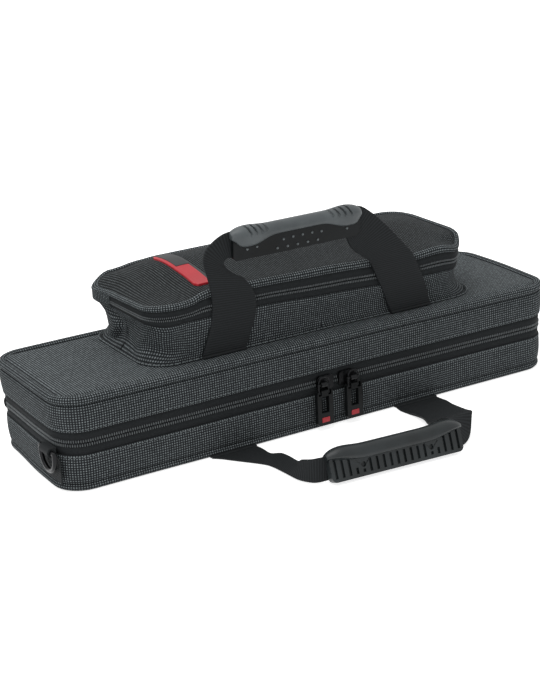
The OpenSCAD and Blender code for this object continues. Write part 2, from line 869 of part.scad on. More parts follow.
placed_grip(TOP_GRIP, top_size, top_root_y, top_root_z);  // top_grip
strap(BOTTOM_LEFT, bottom_size, bottom_left_x, bottom_root_y, bottom_root_z);  // bottom_strap_left
strap(BOTTOM_RIGHT, bottom_size, bottom_right_x, bottom_root_y, bottom_root_z);  // bottom_strap_right
placed_grip(BOTTOM_GRIP, bottom_size, bottom_root_y, bottom_root_z);  // bottom_grip
d_ring(-1);  // d_ring_left
d_ring(1);  // d_ring_right
at_main(slider_left_x) slider(lug_shift);  // slider_left
at_main(slider_left_x) zip_link();  // zip_link_left
at_main(slider_left_x) zip_pull();  // zip_pull_left
at_main(slider_right_x) slider(-lug_shift);  // slider_right
at_main(slider_right_x) zip_link();  // zip_link_right
at_main(slider_right_x) zip_pull();  // zip_pull_right
at_pocket() slider(0);  // pocket_slider
at_pocket() zip_link();  // pocket_zip_link
at_pocket() zip_pull();  // pocket_zip_pull
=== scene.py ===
# A soft zipped flute case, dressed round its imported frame.
# Lengths are metres; mm turns a size in millimetres into them.
import math

import bmesh
import bpy
from mathutils import Matrix, Vector, noise


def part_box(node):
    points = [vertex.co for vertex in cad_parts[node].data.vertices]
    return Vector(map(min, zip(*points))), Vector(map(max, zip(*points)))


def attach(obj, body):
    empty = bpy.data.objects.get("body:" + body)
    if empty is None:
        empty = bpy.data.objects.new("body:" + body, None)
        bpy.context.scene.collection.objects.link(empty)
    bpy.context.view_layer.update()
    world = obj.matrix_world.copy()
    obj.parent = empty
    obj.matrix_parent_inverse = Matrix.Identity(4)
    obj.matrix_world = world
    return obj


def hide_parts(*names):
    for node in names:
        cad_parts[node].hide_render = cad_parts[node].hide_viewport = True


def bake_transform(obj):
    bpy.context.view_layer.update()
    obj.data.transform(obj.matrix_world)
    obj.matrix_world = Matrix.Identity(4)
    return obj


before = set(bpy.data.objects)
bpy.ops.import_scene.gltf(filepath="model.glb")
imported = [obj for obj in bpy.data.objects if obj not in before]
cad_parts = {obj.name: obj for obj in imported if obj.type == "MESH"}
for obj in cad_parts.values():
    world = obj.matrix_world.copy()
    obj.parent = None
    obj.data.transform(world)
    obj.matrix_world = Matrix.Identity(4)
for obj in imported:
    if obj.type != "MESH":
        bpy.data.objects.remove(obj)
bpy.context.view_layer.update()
mm = 0.001
scene = bpy.context.scene
scene.view_settings.view_transform = "Standard"
print("frame loaded:", len(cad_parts), "nodes")

# the camera's place, in mm, and its lens, fitted to the photograph
shot = {
    "azimuth": -29.75,
    "elevation": 19.62,
    "roll": -2.93,
    "focalPixels": 1720.29,
    "longSide": 700,
    "sensor": 36,
    "place": (-627.58, -1077.81, 487.69),
}


def makeCamera():
    a, e, r = (math.radians(shot[k]) for k in ("azimuth", "elevation", "roll"))
    back = Vector((math.sin(a) * math.cos(e), -math.cos(a) * math.cos(e), math.sin(e)))
    level = Vector((0, 0, 1)).cross(back).normalized()
    upright = back.cross(level)
    right = level * math.cos(r) + upright * math.sin(r)
    up = upright * math.cos(r) - level * math.sin(r)
    data = bpy.data.cameras.new("camera")
    data.lens = shot["focalPixels"] * shot["sensor"] / shot["longSide"]
    data.sensor_width = shot["sensor"]
    camera = bpy.data.objects.new("camera", data)
    scene.collection.objects.link(camera)
    turn = Matrix((right, up, back)).transposed().to_4x4()
    camera.matrix_world = Matrix.Translation(Vector(shot["place"]) * mm) @ turn
    scene.camera = camera


makeCamera()


# colours are sRGB hex codes, and shaders take linear ones
def toLinear(code):
    parts = [int(code[i : i + 2], 16) / 255 for i in (1, 3, 5)]
    return [c / 12.92 if c <= 0.04045 else ((c + 0.055) / 1.055) ** 2.4 for c in parts] + [1]


# an input is a number, a colour, a socket, or a node that gives its first output
def addNode(tree, kind, inputs=None, **settings):
    node = tree.nodes.new(kind)
    for name, value in settings.items():
        setattr(node, name, value)
    for name, value in (inputs or {}).items():
        if isinstance(value, bpy.types.Node):
            value = value.outputs[0]
        if isinstance(value, bpy.types.NodeSocket):
            tree.links.new(value, node.inputs[name])
        else:
            node.inputs[name].default_value = value
    return node


def newMaterial(name, **values):
    material = bpy.data.materials.new(name)
    material.use_nodes = True
    tree = material.node_tree
    shader = tree.nodes["Principled BSDF"]
    for socket, value in values.items():
        shader.inputs[socket.replace("_", " ")].default_value = value
    return material, tree, shader


# colours a shader from dark to pale with a pattern, and gives it the relief of a surface that deep
def dressShader(tree, shader, pattern, dark, pale, height=None, depth=0.0, strength=1.0):
    dark = toLinear(dark) if isinstance(dark, str) else dark
    shades = {0: pattern, 6: dark, 7: toLinear(pale)}
    colour = addNode(tree, "ShaderNodeMix", shades, data_type="RGBA").outputs[2]
    tree.links.new(colour, shader.inputs["Base Color"])
    if height:
        relief = addNode(tree, "ShaderNodeBump", {"Height": height, "Distance": depth, "Strength": strength})
        tree.links.new(relief.outputs[0], shader.inputs["Normal"])


# salt-and-pepper nylon: pale yarn shows as a dot in each square of a dark weave, worn paler in patches
weave = {
    "pitchAlong": 1.9 * mm,
    "pitchUp": 1.82 * mm,
    "dark": "#191c1e",
    "pale": "#9aa2a5",
    "worn": "#5d6568",
    "wornShare": 0.06,
    "wornScale": 14.0,
    "dotSharpness": 3.2,
    "faintestDot": 0.55,
    "height": 0.2 * mm,
}


def wovenNylon(name, shade=1.0, dark=weave["dark"], rows=1.0):
    material, tree, shader = newMaterial(name, Roughness=0.9, Specular_IOR_Level=0.2)
    place = addNode(tree, "ShaderNodeUVMap", uv_map="weave")
    size = (1 / weave["pitchAlong"], 1 / weave["pitchUp"], 1)
    cell = addNode(tree, "ShaderNodeVectorMath", {0: place, 1: size}, operation="MULTIPLY")
    split = addNode(tree, "ShaderNodeSeparateXYZ", {0: cell})
    waves = []
    for axis in (0, 1):
        turned = addNode(tree, "ShaderNodeMath", {0: split.outputs[axis], 1: math.pi}, operation="MULTIPLY")
        wave = addNode(tree, "ShaderNodeMath", {0: turned}, operation="SINE")
        waves.append(addNode(tree, "ShaderNodeMath", {0: wave}, operation="ABSOLUTE"))
    along, up = waves
    up = addNode(tree, "ShaderNodeMapRange", {0: up, 3: 1 - rows, 4: 1.0})
    yarn = addNode(tree, "ShaderNodeMath", {0: along, 1: up}, operation="MULTIPLY")
    square = addNode(tree, "ShaderNodeVectorMath", {0: cell}, operation="FLOOR")
    chance = addNode(tree, "ShaderNodeTexWhiteNoise", {0: square}, noise_dimensions="3D")
    paleness = addNode(tree, "ShaderNodeMapRange", {0: chance, 3: weave["faintestDot"] * shade, 4: shade})
    dot = addNode(tree, "ShaderNodeMath", {0: yarn, 1: weave["dotSharpness"]}, operation="POWER")
    dot = addNode(tree, "ShaderNodeMath", {0: dot, 1: paleness}, operation="MULTIPLY")
    shades = {0: dot, 6: toLinear(dark), 7: toLinear(weave["pale"])}
    cloth = addNode(tree, "ShaderNodeMix", shades, data_type="RGBA").outputs[2]
    coord = addNode(tree, "ShaderNodeTexCoord").outputs["Object"]
    patch = addNode(tree, "ShaderNodeTexNoise", {"Vector": coord, "Scale": weave["wornScale"], "Detail": 3.0})
    faded = addNode(tree, "ShaderNodeMapRange", {0: patch, 1: 0.35, 2: 0.75, 3: 0.0, 4: weave["wornShare"]})
    dressShader(tree, shader, faded, cloth, weave["worn"], yarn, weave["height"], 0.8)
    return material


# polypropylene webbing: black, with fine ribs of weft across it, their crests coloured paler as painted
# highlight and their troughs darker as painted shade
webbingLook = {
    "rib": 1.9 * mm,
    "yarn": 0.9 * mm,
    "deep": "#151718",
    "lit": "#25282a",
    "height": 0.14 * mm,
}


def ribbedWebbing(name):
    material, tree, shader = newMaterial(name, Roughness=0.78, Specular_IOR_Level=0.22)
    place = addNode(tree, "ShaderNodeUVMap", uv_map="weave")
    split = addNode(tree, "ShaderNodeSeparateXYZ", {0: place})
    waves = []
    for axis, pitch in ((0, webbingLook["rib"]), (1, webbingLook["yarn"])):
        turned = {0: split.outputs[axis], 1: 2 * math.pi / pitch}
        wave = addNode(tree, "ShaderNodeMath", turned, operation="MULTIPLY")
        wave = addNode(tree, "ShaderNodeMath", {0: wave}, operation="SINE")
        waves.append(addNode(tree, "ShaderNodeMapRange", {0: wave, 1: -1.0, 2: 1.0}))
    rib, yarn = waves
    fine = addNode(tree, "ShaderNodeMath", {0: yarn, 1: 0.4}, operation="MULTIPLY")
    relief = addNode(tree, "ShaderNodeMath", {0: rib, 1: fine}, operation="ADD")
    look = webbingLook
    dressShader(tree, shader, rib, look["deep"], look["lit"], relief, look["height"], 0.6)
    return material


# polyester zip tape: a fine herringbone, too fine to draw, so it looks plain and matt
def tapeCloth(name, colourCode="#17191a"):
    material, tree, shader = newMaterial(name, Roughness=0.85, Specular_IOR_Level=0.15)
    coord = addNode(tree, "ShaderNodeTexCoord").outputs["Object"]
    grain = addNode(tree, "ShaderNodeTexNoise", {"Vector": coord, "Scale": 900.0, "Detail": 2.0})
    dressShader(tree, shader, grain, colourCode, "#2c2f31", grain, 0.1 * mm, 0.5)
    return material


# moulded TPR: matt grey rubber with a faint grain and paler rubbed high spots
def mouldedRubber(name, colourCode, rubbed, rough=0.5, shine=0.4):
    material, tree, shader = newMaterial(name, Roughness=rough, Specular_IOR_Level=shine)
    coord = addNode(tree, "ShaderNodeTexCoord").outputs["Object"]
    cloud = addNode(tree, "ShaderNodeTexNoise", {"Vector": coord, "Scale": 45.0, "Detail": 4.0})
    rubbedShare = addNode(tree, "ShaderNodeMapRange", {0: cloud, 1: 0.35, 2: 0.75})
    grain = addNode(tree, "ShaderNodeTexNoise", {"Vector": coord, "Scale": 1400.0})
    dressShader(tree, shader, rubbedShare, colourCode, rubbed, grain, 0.05 * mm, 0.4)
    return material


# knitted plush: soft black pile that goes pale where it is seen edge on
def plushPile(name):
    material, tree, shader = newMaterial(name, Roughness=0.95, Specular_IOR_Level=0.1)
    shader.inputs["Sheen Weight"].default_value = 0.6
    shader.inputs["Sheen Roughness"].default_value = 0.4
    coord = addNode(tree, "ShaderNodeTexCoord").outputs["Object"]
    pile = addNode(tree, "ShaderNodeTexNoise", {"Vector": coord, "Scale": 700.0, "Detail": 3.0})
    nap = addNode(tree, "ShaderNodeTexNoise", {"Vector": coord, "Scale": 30.0, "Detail": 2.0})
    both = addNode(tree, "ShaderNodeMath", {0: pile, 1: nap}, operation="MULTIPLY")
    dressShader(tree, shader, both, "#141418", "#3c3c46", pile, 0.5 * mm, 0.6)
    return material


# plain finishes, each a little speckled: nylon coil, plated steel, thread
def plainFinish(name, colourCode, speckle, rough, metallic=0.0, share=0.25):
    material, tree, shader = newMaterial(name, Roughness=rough, Metallic=metallic)
    coord = addNode(tree, "ShaderNodeTexCoord").outputs["Object"]
    cloud = addNode(tree, "ShaderNodeTexNoise", {"Vector": coord, "Scale": 350.0, "Detail": 3.0})
    part = addNode(tree, "ShaderNodeMath", {0: cloud, 1: share}, operation="MULTIPLY")
    dressShader(tree, shader, part, colourCode, speckle)
    return material


coverNylon = wovenNylon("wovenNylon", 1.1)
flapNylonPaintedShade = wovenNylon("flapNylonPaintedShade", 0.46, "#060708", 0.75)  # the case's one cloth, darkened as painted shade on the flap's top
topNylon = wovenNylon("topNylon", 1.1, rows=0.5)  # on the level top its rows run together
weltNylon = wovenNylon("weltNylon", 1.2)
webbing = ribbedWebbing("polypropyleneWebbing")
zipTape = tapeCloth("polyesterTape")
hingeCloth = tapeCloth("hingeCloth", "#1f2223")
coilNylon = plainFinish("nylonCoil", "#3c4042", "#8a9092", 0.55, share=0.5)
thread = plainFinish("polyesterThread", "#6d7476", "#2c3032", 0.7)
gripRubber = mouldedRubber("gripRubber", "#43484a", "#565c5e", 0.4)
# the bottom grip: the top cap's rubber darkened as painted shade
bottomGripRubberPaintedShade = mouldedRubber("bottomGripPaintedShadeRubber", "#212526", "#2e3335", 0.34, 0.32)
topWingRubberPaintedShade = mouldedRubber("topWingPaintedShadeRubber", "#0d0f10", "#16191a", 0.45, 0.15)  # the top grip's wing: the grips' rubber darkened as painted shade
# the studs: the grips' rubber made paler as painted highlight where they catch the light
studRubberPaintedHighlight = mouldedRubber("studRubberPaintedHighlight", "#5a6062", "#6b7173", 0.4)
pullRubber = mouldedRubber("pullRubber", "#0e1011", "#17191a", 0.4, 0.15)
markRubber = mouldedRubber("redMarkRubber", "#a92b34", "#bb3a42", 0.5)
labelRubber = mouldedRubber("redLabelRubber", "#b3202b", "#c22a35", 0.5)
inlayRubber = mouldedRubber("blackInlayRubber", "#141517", "#1f2123", 0.5)
platedSteel = plainFinish("blackPlatedSteel", "#191a1c", "#0c0d0e", 0.28, metallic=0.7)
liningPlush = plushPile("liningPlush")
print("materials made")

# the case's own measures that its packed boxes don't give
case = {
    "cornerRadius": 22 * mm,
    "gap": 0.2 * mm,
    "hinge": 63.2 * mm,
    "zipEnd": 40 * mm,
}
bandLow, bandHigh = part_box("base_band")
caseLength = bandHigh.x - bandLow.x
caseWidth = bandHigh.y - bandLow.y
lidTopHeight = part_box("lid_panel")[1].z
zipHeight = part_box("zip_coil_lower")[1].z + case["gap"]


def rightOf(heading):
    return Vector((math.sin(heading), -math.cos(heading), 0))


# stations run once round a rounded rectangle, anticlockwise from above, from the middle of its back;
# each is a point, the heading there and the length of path up to it
def roundPath(length, width, radius, centre=(0, 0), step=7 * mm, cornerSteps=8):
    point = Vector((centre[0], centre[1] + width / 2, 0))
    heading = math.pi
    run = 0.0
    stations = [(point.copy(), heading, run)]
    long, short = length - 2 * radius, width - 2 * radius
    sides = [long / 2, short, long, short, long / 2]
    for number, side in enumerate(sides):
        pieces = max(1, round(side / step))
        for i in range(pieces):
            point = point + Vector((math.cos(heading), math.sin(heading), 0)) * side / pieces
            run += side / pieces
            stations.append((point.copy(), heading, run))
        if number == len(sides) - 1:
            break
        pivot = point - rightOf(heading) * radius
        for i in range(cornerSteps):
            heading += math.pi / 2 / cornerSteps
            run += radius * math.pi / 2 / cornerSteps
            point = pivot + rightOf(heading) * radius
            stations.append((point.copy(), heading, run))
    return stations


def frameAt(station):
    point, heading = station[:2]
    ahead = Vector((math.cos(heading), math.sin(heading), 0))
    turn = Matrix((rightOf(heading), ahead, Vector((0, 0, 1)))).transposed().to_4x4()
    return Matrix.Translation(point) @ turn


# extrudes a row of edges, and gives the vertices and faces made and the edges that now lead
def extrudeRow(bm, edges):
    made = bmesh.ops.extrude_edge_only(bm, edges=edges)["geom"]
    verts = [g for g in made if isinstance(g, bmesh.types.BMVert)]
    faces = [g for g in made if isinstance(g, bmesh.types.BMFace)]
    fresh = set(verts)
    return verts, faces, [g for g in made if isinstance(g, bmesh.types.BMEdge) and fresh.issuperset(g.verts)]


def layWeave(faces, uv, placeOf):
    for face in faces:
        for loop in face.loops:
            loop[uv].uv = placeOf(loop.vert)


# a profile of (outwards, up) points, extruded from station to station
def sweep(profile, stations):
    bm = bmesh.new()
    uv = bm.loops.layers.uv.new("weave")
    runOf = bm.verts.layers.float.new("run")
    reachOf = bm.verts.layers.float.new("reach")
    start = frameAt(stations[0])
    ring = []
    reach = 0.0
    for number, (out, up) in enumerate(profile):
        if number:
            reach += math.dist(profile[number - 1], (out, up))
        vert = bm.verts.new(start @ Vector((out, 0, up)))
        vert[runOf] = stations[0][2]
        vert[reachOf] = reach
        ring.append(vert)
    edges = [bm.edges.new((a, b)) for a, b in zip(ring, ring[1:] + ring[:1])]
    firstEdges = list(edges)
    closed = (stations[0][0] - stations[-1][0]).length < 0.01 * mm
    for before, after in zip(stations, stations[1:]):
        verts, faces, edges = extrudeRow(bm, edges)
        bmesh.ops.transform(bm, matrix=frameAt(after) @ frameAt(before).inverted(), verts=verts)
        for vert in verts:
            vert[runOf] = after[2]
        layWeave(faces, uv, lambda vert: (vert[runOf], vert[reachOf]))
    if closed:
        bmesh.ops.remove_doubles(bm, verts=bm.verts, dist=0.02 * mm)
    else:
        bmesh.ops.contextual_create(bm, geom=firstEdges)
        bmesh.ops.contextual_create(bm, geom=edges)
    return bm


# a round profile for a cord or a seam
def tube(centre, radius, sides=12):
    turns = [2 * math.pi * i / sides + math.pi for i in range(sides)]
    return [(centre[0] + radius * math.cos(t), centre[1] - radius * math.sin(t)) for t in turns]


# how the soft case gives: one field moves every sewn piece alike, so that seams stay shut
give = {
    "seed": 3,
    "wave": 0.5 * mm,
    "waveLength": 70 * mm,
    "waveUp": 0.6,
    "stillBelow": 6 * mm,
    "endFrom": 0.6,
    "leftTaper": 3.5 * mm,
    "leftSpan": (-20 * mm, 45 * mm),
    "rightTaper": (4.0 * mm, 1.5 * mm),
    "rightSpan": (20 * mm, -40 * mm),
    "rightBow": 2.6 * mm,
    "bowFrom": 0.8,
}
halfLength, halfWidth = caseLength / 2, caseWidth / 2
noise.seed_set(give["seed"])  # the same waves each run


def smoothStep(low, high, value):
    t = min(1.0, max(0.0, (value - low) / (high - low)))
    return t * t * (3 - 2 * t)


# the ends lean in towards the floor, the left one at its back and the right one at its front,
# and the right end bows out towards the top
def slack(co):
    shift = noise.noise_vector(co / give["waveLength"]) * give["wave"]
    shift.z *= give["waveUp"] if co.z > give["stillBelow"] else 0.0
    height = min(1.0, max(0.0, co.z / lidTopHeight))
    leftEnd = smoothStep(give["endFrom"], 1.0, -co.x / halfLength) * smoothStep(*give["leftSpan"], co.y)
    shift.x += give["leftTaper"] * (1 - height) * leftEnd
    rightEnd = smoothStep(give["endFrom"], 1.0, co.x / halfLength) * smoothStep(*give["rightSpan"], co.y)
    low, high = give["rightTaper"]
    shift.x -= (low + (high - low) * height) * rightEnd
    bowed = smoothStep(give["bowFrom"], 1.0, co.x / halfLength) * max(0.0, 1 - (co.y / halfWidth) ** 2)
    shift.x += give["rightBow"] * height * height * bowed
    return shift


def relax(bm, field=slack):
    for vert in bm.verts:
        vert.co += field(vert.co)


# a finished mesh: the body it rides on and the imported nodes it stands for
def makePiece(bm, name, material, body=None, replaces=(), smooth=True, recalc=True):
    if recalc:
        bmesh.ops.recalc_face_normals(bm, faces=bm.faces)
    mesh = bpy.data.meshes.new(name)
    bm.to_mesh(mesh)
    bm.free()
    piece = bpy.data.objects.new(name, mesh)
    scene.collection.objects.link(piece)
    mesh.materials.append(material)
    mesh.polygons.foreach_set("use_smooth", [smooth] * len(mesh.polygons))
    if body:
        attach(piece, body)
    if replaces:
        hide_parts(*replaces)
    return piece


def addModifier(piece, kind, **settings):
    modifier = piece.modifiers.new(kind.lower(), kind)
    for name, value in settings.items():
        setattr(modifier, name, value)


# rounds edges sharper than an angle
def softenEdges(piece, width, degrees=30):
    angle = math.radians(degrees)
    addModifier(piece, "BEVEL", width=width, segments=2, limit_method="ANGLE", angle_limit=angle)


# bakes a piece's modifiers into its mesh
def freeze(piece):
    evaluated = piece.evaluated_get(bpy.context.evaluated_depsgraph_get())
    mesh = bpy.data.meshes.new_from_object(evaluated)
    piece.modifiers.clear()
    piece.data = mesh


def thicken(bm, depth):
    bmesh.ops.recalc_face_normals(bm, faces=bm.faces)
    bmesh.ops.solidify(bm, geom=bm.faces[:], thickness=depth)


# a flat panel with round corners: a grid whose columns follow the corners
def panel(length, width, radius, centre, height, rows=20, columns=44):
    cornerSteps = 6
    bm = bmesh.new()
    uv = bm.loops.layers.uv.new("weave")
    bmesh.ops.create_grid(bm, x_segments=columns, y_segments=rows, size=1)
    straight = length / 2 - radius
    turns = [math.sin(math.pi / 2 * i / cornerSteps) for i in range(cornerSteps + 1)]
    middle = columns - 2 * cornerSteps
    places = [-straight - radius * t for t in reversed(turns)]
    places += [-straight + 2 * straight * i / middle for i in range(1, middle)]
    places += [straight + radius * t for t in turns]
    for vert in bm.verts:
        x = places[round((vert.co.x + 1) / 2 * columns)]
        past = max(0.0, abs(x) - straight)
        half = width / 2 - radius + math.sqrt(max(0.0, radius * radius - past * past))
        vert.co = Vector((centre[0] + x, centre[1] + vert.co.y * half, height))
    layWeave(bm.faces, uv, lambda vert: vert.co.xy)
    return bm


# the covers of base and lid
cover = {
    "clothDepth": 1.2 * mm,
    "sideBulge": 0.9 * mm,
    "baseWelt": 2.75 * mm,
    "lidWelt": 3.35 * mm,
    "edgeDrop": 1.7 * mm,
    "edgeWide": 6 * mm,
    "flatBeside": 8 * mm,
}
caseRun = roundPath(caseLength, caseWidth, case["cornerRadius"])


# the cloth of a side: tucked in beside its welt, it bulges over the foam and is folded in beside the zip
def sideProfile(sewn, folded):
    rise = folded - sewn
    way = math.copysign(1, rise)
    bulge = cover["sideBulge"]
    depth = cover["clothDepth"]
    outer = [(-2.4 * mm, sewn), (-1.0 * mm, sewn + 0.5 * mm * way), (0.0, sewn + 1.5 * mm * way)]
    for part in (0.2, 0.35, 0.5, 0.65, 0.82):
        outer.append((bulge * math.sin(math.pi * part), sewn + rise * part))
    outer += [(0.2 * mm, folded - 1.0 * mm * way), (0.05 * mm, folded - 0.35 * mm * way)]
    outer += [(-0.5 * mm, folded), (-depth, folded - 0.3 * mm * way)]
    return outer + [(-depth - 0.2 * mm, folded - rise / 2), (-depth - 1.6 * mm, sewn + 0.2 * mm * way)]


# the cloth lies flat under each D-ring's patch
def flattenAtRings(bm):
    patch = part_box("d_ring_patch_left")
    middle, reach = (patch[0].y + patch[1].y) / 2, (patch[1].y - patch[0].y) / 2
    for vert in bm.verts:
        offset = abs(vert.co.y - math.copysign(middle, vert.co.x))
        if abs(vert.co.x) > halfLength and offset < reach + cover["flatBeside"]:
            flat = smoothStep(reach + cover["flatBeside"], reach, offset)
            vert.co.x = math.copysign(abs(vert.co.x) * (1 - flat) + halfLength * flat, vert.co.x)


# a long soft crease pressed into the lid's front
crease = {
    "left": -175 * mm,
    "leftFade": 30 * mm,
    "right": -20 * mm,
    "rightFade": 60 * mm,
    "height": 56 * mm,
    "half": 1.6 * mm,
    "deep": 0.9 * mm,
}


def pressCrease(bm):
    for vert in bm.verts:
        if vert.co.y < -halfWidth - 0.1 * mm:
            fade = smoothStep(crease["left"], crease["left"] + crease["leftFade"], vert.co.x)
            fade *= smoothStep(crease["right"], crease["right"] - crease["rightFade"], vert.co.x)
            line = crease["height"] + 1.5 * mm * math.sin(vert.co.x / (40 * mm))
            vert.co.y += crease["deep"] * fade * math.exp(-(((vert.co.z - line) / crease["half"]) ** 2))


def insetPanel(inset, height):
    return panel(caseLength - 2 * inset, caseWidth - 2 * inset, case["cornerRadius"] - inset, (0, 0), height)


def makeCovers():
    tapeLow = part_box("zip_tape_lower")[0].z
    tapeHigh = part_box("zip_tape_upper")[1].z
    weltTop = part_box("base_welt_cord")[1].z
    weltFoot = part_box("lid_welt_cord")[0].z

    side = sweep(sideProfile(weltTop - 0.6 * mm, tapeLow), caseRun)
    relax(side)
    flattenAtRings(side)
    makePiece(side, "baseSide", coverNylon, "base", ["base_band"])
    side = sweep(sideProfile(weltFoot + 0.3 * mm, tapeHigh), caseRun)
    pressCrease(side)
    relax(side)
    makePiece(side, "lidSide", coverNylon, "lid", ["lid_band"])

    r = cover["baseWelt"]
    cord = sweep(tube((-r + 0.6 * mm, r + 0.05 * mm), r), caseRun)
    relax(cord)
    makePiece(cord, "baseWelt", weltNylon, "base", ["base_welt_cord"])
    r = cover["lidWelt"]
    cord = sweep(tube((-r + 0.6 * mm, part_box("lid_welt_cord")[1].z - r), r, 14), caseRun)
    relax(cord)
    makePiece(cord, "lidWelt", weltNylon, "lid", ["lid_welt_cord"])

    # the bottom hangs just clear of the floor, inside its welt
    inset = 2 * cover["baseWelt"] - 1.2 * mm
    under = insetPanel(inset, 1.5 * mm)
    relax(under)
    thicken(under, 1.3 * mm)
    makePiece(under, "baseBottom", coverNylon, "base", ["base_panel"])

    # the top falls to its welt at the edges
    inset = 2 * cover["lidWelt"] - 1.3 * mm
    top = insetPanel(inset, lidTopHeight)
    for vert in top.verts:
        across = min(1.0, (halfWidth - inset - abs(vert.co.y)) / cover["edgeWide"])
        along = min(1.0, (halfLength - inset - abs(vert.co.x)) / cover["edgeWide"])
        fall = (1 - min(across, along)) ** 2
        vert.co.z += -cover["edgeDrop"] * fall + slack(vert.co * 1.3).z * (1 - fall)
        vert.co += slack(vert.co)
    thicken(top, 1.6 * mm)
    makePiece(top, "lidTop", topNylon, "lid", ["lid_panel"])


makeCovers()
print("covers made")


# the zips: "coil" is how far out from its path a coil stands, "tape" how far in a tape's back and face lie,
# and "laps" how far the tapes reach under the lower cloth, the coils and the upper cloth
zipLook = {
    "toothWidth": 0.45 * mm,
    "toothDeep": 1.1 * mm,
    "stripFace": 1.0 * mm,
    "stripBack": 1.7 * mm,
    "zip": {
        "pitch": 1.8 * mm,
        "coil": 0.1 * mm,
        "tape": (1.6 * mm, 0.75 * mm),
        "laps": (0.8 * mm, 1.0 * mm, 0.8 * mm),
    },
    "pocket": {
        "pitch": 1.5 * mm,
        "coil": -0.2 * mm,
        "tape": (1.9 * mm, 0.8 * mm),
        "laps": (0.6 * mm, 0.6 * mm, 0.8 * mm),
    },
}
# pitch, length and half thickness of each row of stitches, and how far it runs from the zip's tape
stitchLook = {
    "zip": (3.4 * mm, 2.5 * mm, 0.35 * mm),
    "seam": (3.0 * mm, 2.2 * mm, 0.5 * mm),
    "beside": 1.6 * mm,
}
# how far the lid's hinge laps over the coils' height, and how far from its axis it bends
hingeLook = {"lap": 0.4 * mm, "bend": 2.6 * mm}


# the station at any length along a path
def placeAt(stations, run):
    for before, after in zip(stations, stations[1:]):
        if run <= after[2]:
            share = (run - before[2]) / (after[2] - before[2])
            point = before[0].lerp(after[0], share)
            return (point, before[1] + (after[1] - before[1]) * share, run)
    return stations[-1]


# where a zip starts and ends on its path: both at one place along the case's sides
def runsPast(stations, y):
    behind = [s[2] for s in stations if s[0].y >= y and s[2] < stations[-1][2] / 2]
    return max(behind), stations[-1][2] - max(behind)


# the rest of that path, behind the zip, as one run through the path's start
def hingePath(stations, start, end):
    total = stations[-1][2]
    late = [s for s in stations[:-1] if s[2] >= end]
    early = [s for s in stations[:-1] if s[2] <= start]
    return [(point, heading - 2 * math.pi, run - total) for point, heading, run in late] + early


# small rounded beads along a path, each with three half sizes: outwards, along and up
def beadRow(bm, stations, pitch, offset, out, up, half):
    start, end = stations[0][2], stations[-1][2]
    for i in range(int((end - start) / pitch)):
        at = frameAt(placeAt(stations, start + (i + offset) * pitch))
        spot = at @ Matrix.Translation((out, 0, up)) @ Matrix.Diagonal((*half, 1))
        bmesh.ops.create_uvsphere(bm, u_segments=6, v_segments=4, radius=1, matrix=spot)
    return bm


# half of a coil: a row of rounded loops, each across the dark strip of tape that carries them
def coilHalf(stations, out, low, high, offset, pitch):
    back, front = out - zipLook["stripBack"], out - zipLook["stripFace"]
    bm = sweep([(back, low), (front, low), (front, high), (back, high)], stations)
    for face in bm.faces:
        face.material_index = 1
    half = (zipLook["toothDeep"], zipLook["toothWidth"], (high - low) / 2)
    return beadRow(bm, stations, pitch, offset, out - zipLook["toothDeep"], (low + high) / 2, half)


# a row of lock stitches lying in the cloth
def stitchRow(stations, out, up, kind):
    pitch, length, thick = stitchLook[kind]
    return beadRow(bmesh.new(), stations, pitch, 0.5, out, up, (thick, length / 2, thick))


# both halves of a zip: a tape all round its path, and a coil as far as the zip opens
def makeZip(kind, path, start, end, bodies, field):
    look = zipLook[kind]
    back, front = look["tape"]
    sewnLow, underCoil, sewnHigh = look["laps"]
    halves = (("lower", bodies[0], 0.25), ("upper", bodies[1], 0.75))
    for half, body, offset in halves:
        tape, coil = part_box(kind + "_tape_" + half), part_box(kind + "_coil_" + half)
        low, high = tape[0].z - sewnLow, coil[0].z + underCoil
        if half == "upper":
            low, high = coil[1].z - underCoil, tape[1].z + sewnHigh
        strip = sweep([(-back, low), (-front, low), (-front, high), (-back, high)], path)
        relax(strip, field)
        name, node = kind + "Tape" + half.capitalize(), kind + "_tape_" + half
        makePiece(strip, name, zipTape, body, [node])
    zipRun = [s for s in path if start <= s[2] <= end]
    for half, body, offset in halves:
        low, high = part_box(kind + "_coil_" + half)
        row = coilHalf(zipRun, look["coil"], low.z, high.z, offset, look["pitch"])
        relax(row, field)
        name, node = kind + "Coil" + half.capitalize(), kind + "_coil_" + half
        makePiece(row, name, coilNylon, body, [node]).data.materials.append(zipTape)


# the cloth behind the ends of a zip turns as the lid or the flap does
def makeHinge(name, profile, path, field, material, nodes):
    band = sweep(profile, path)
    relax(band, field)
    cloth = makePiece(band, name, material, None, nodes)
    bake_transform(cloth)


def makeMainZip():
    start, end = runsPast(caseRun, case["zipEnd"])
    makeZip("zip", caseRun, start, end, ("base", "lid"), slack)
    beside = stitchLook["beside"]
    for name, body, height in (
        ("baseStitches", "base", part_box("zip_tape_lower")[0].z - beside),
        ("lidStitches", "lid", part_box("zip_tape_upper")[1].z + beside),
    ):
        row = stitchRow(caseRun, 0.15 * mm, height, "zip")
        relax(row)
        makePiece(row, name, thread, body)

    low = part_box("zip_coil_lower")[0].z - hingeLook["lap"]
    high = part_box("zip_coil_upper")[1].z + hingeLook["lap"]
    outer = [(-0.2 * mm, low), (0.3 * mm, low + 1.2 * mm)]
    outer += [(0.7 * mm, zipHeight - 1.6 * mm), (0.9 * mm, zipHeight), (0.7 * mm, zipHeight + 1.6 * mm)]
    outer += [(0.3 * mm, high - 1.2 * mm), (-0.2 * mm, high)]
    inner = [(-1.4 * mm, high - 0.5 * mm), (-1.0 * mm, zipHeight), (-1.4 * mm, low + 0.5 * mm)]
    makeHinge(
        "lidHinge", outer + inner, hingePath(caseRun, start, end), slack, hingeCloth,
        ["hinge_tape_lower", "hinge_tape_upper"])


makeMainZip()
print("main zip made")

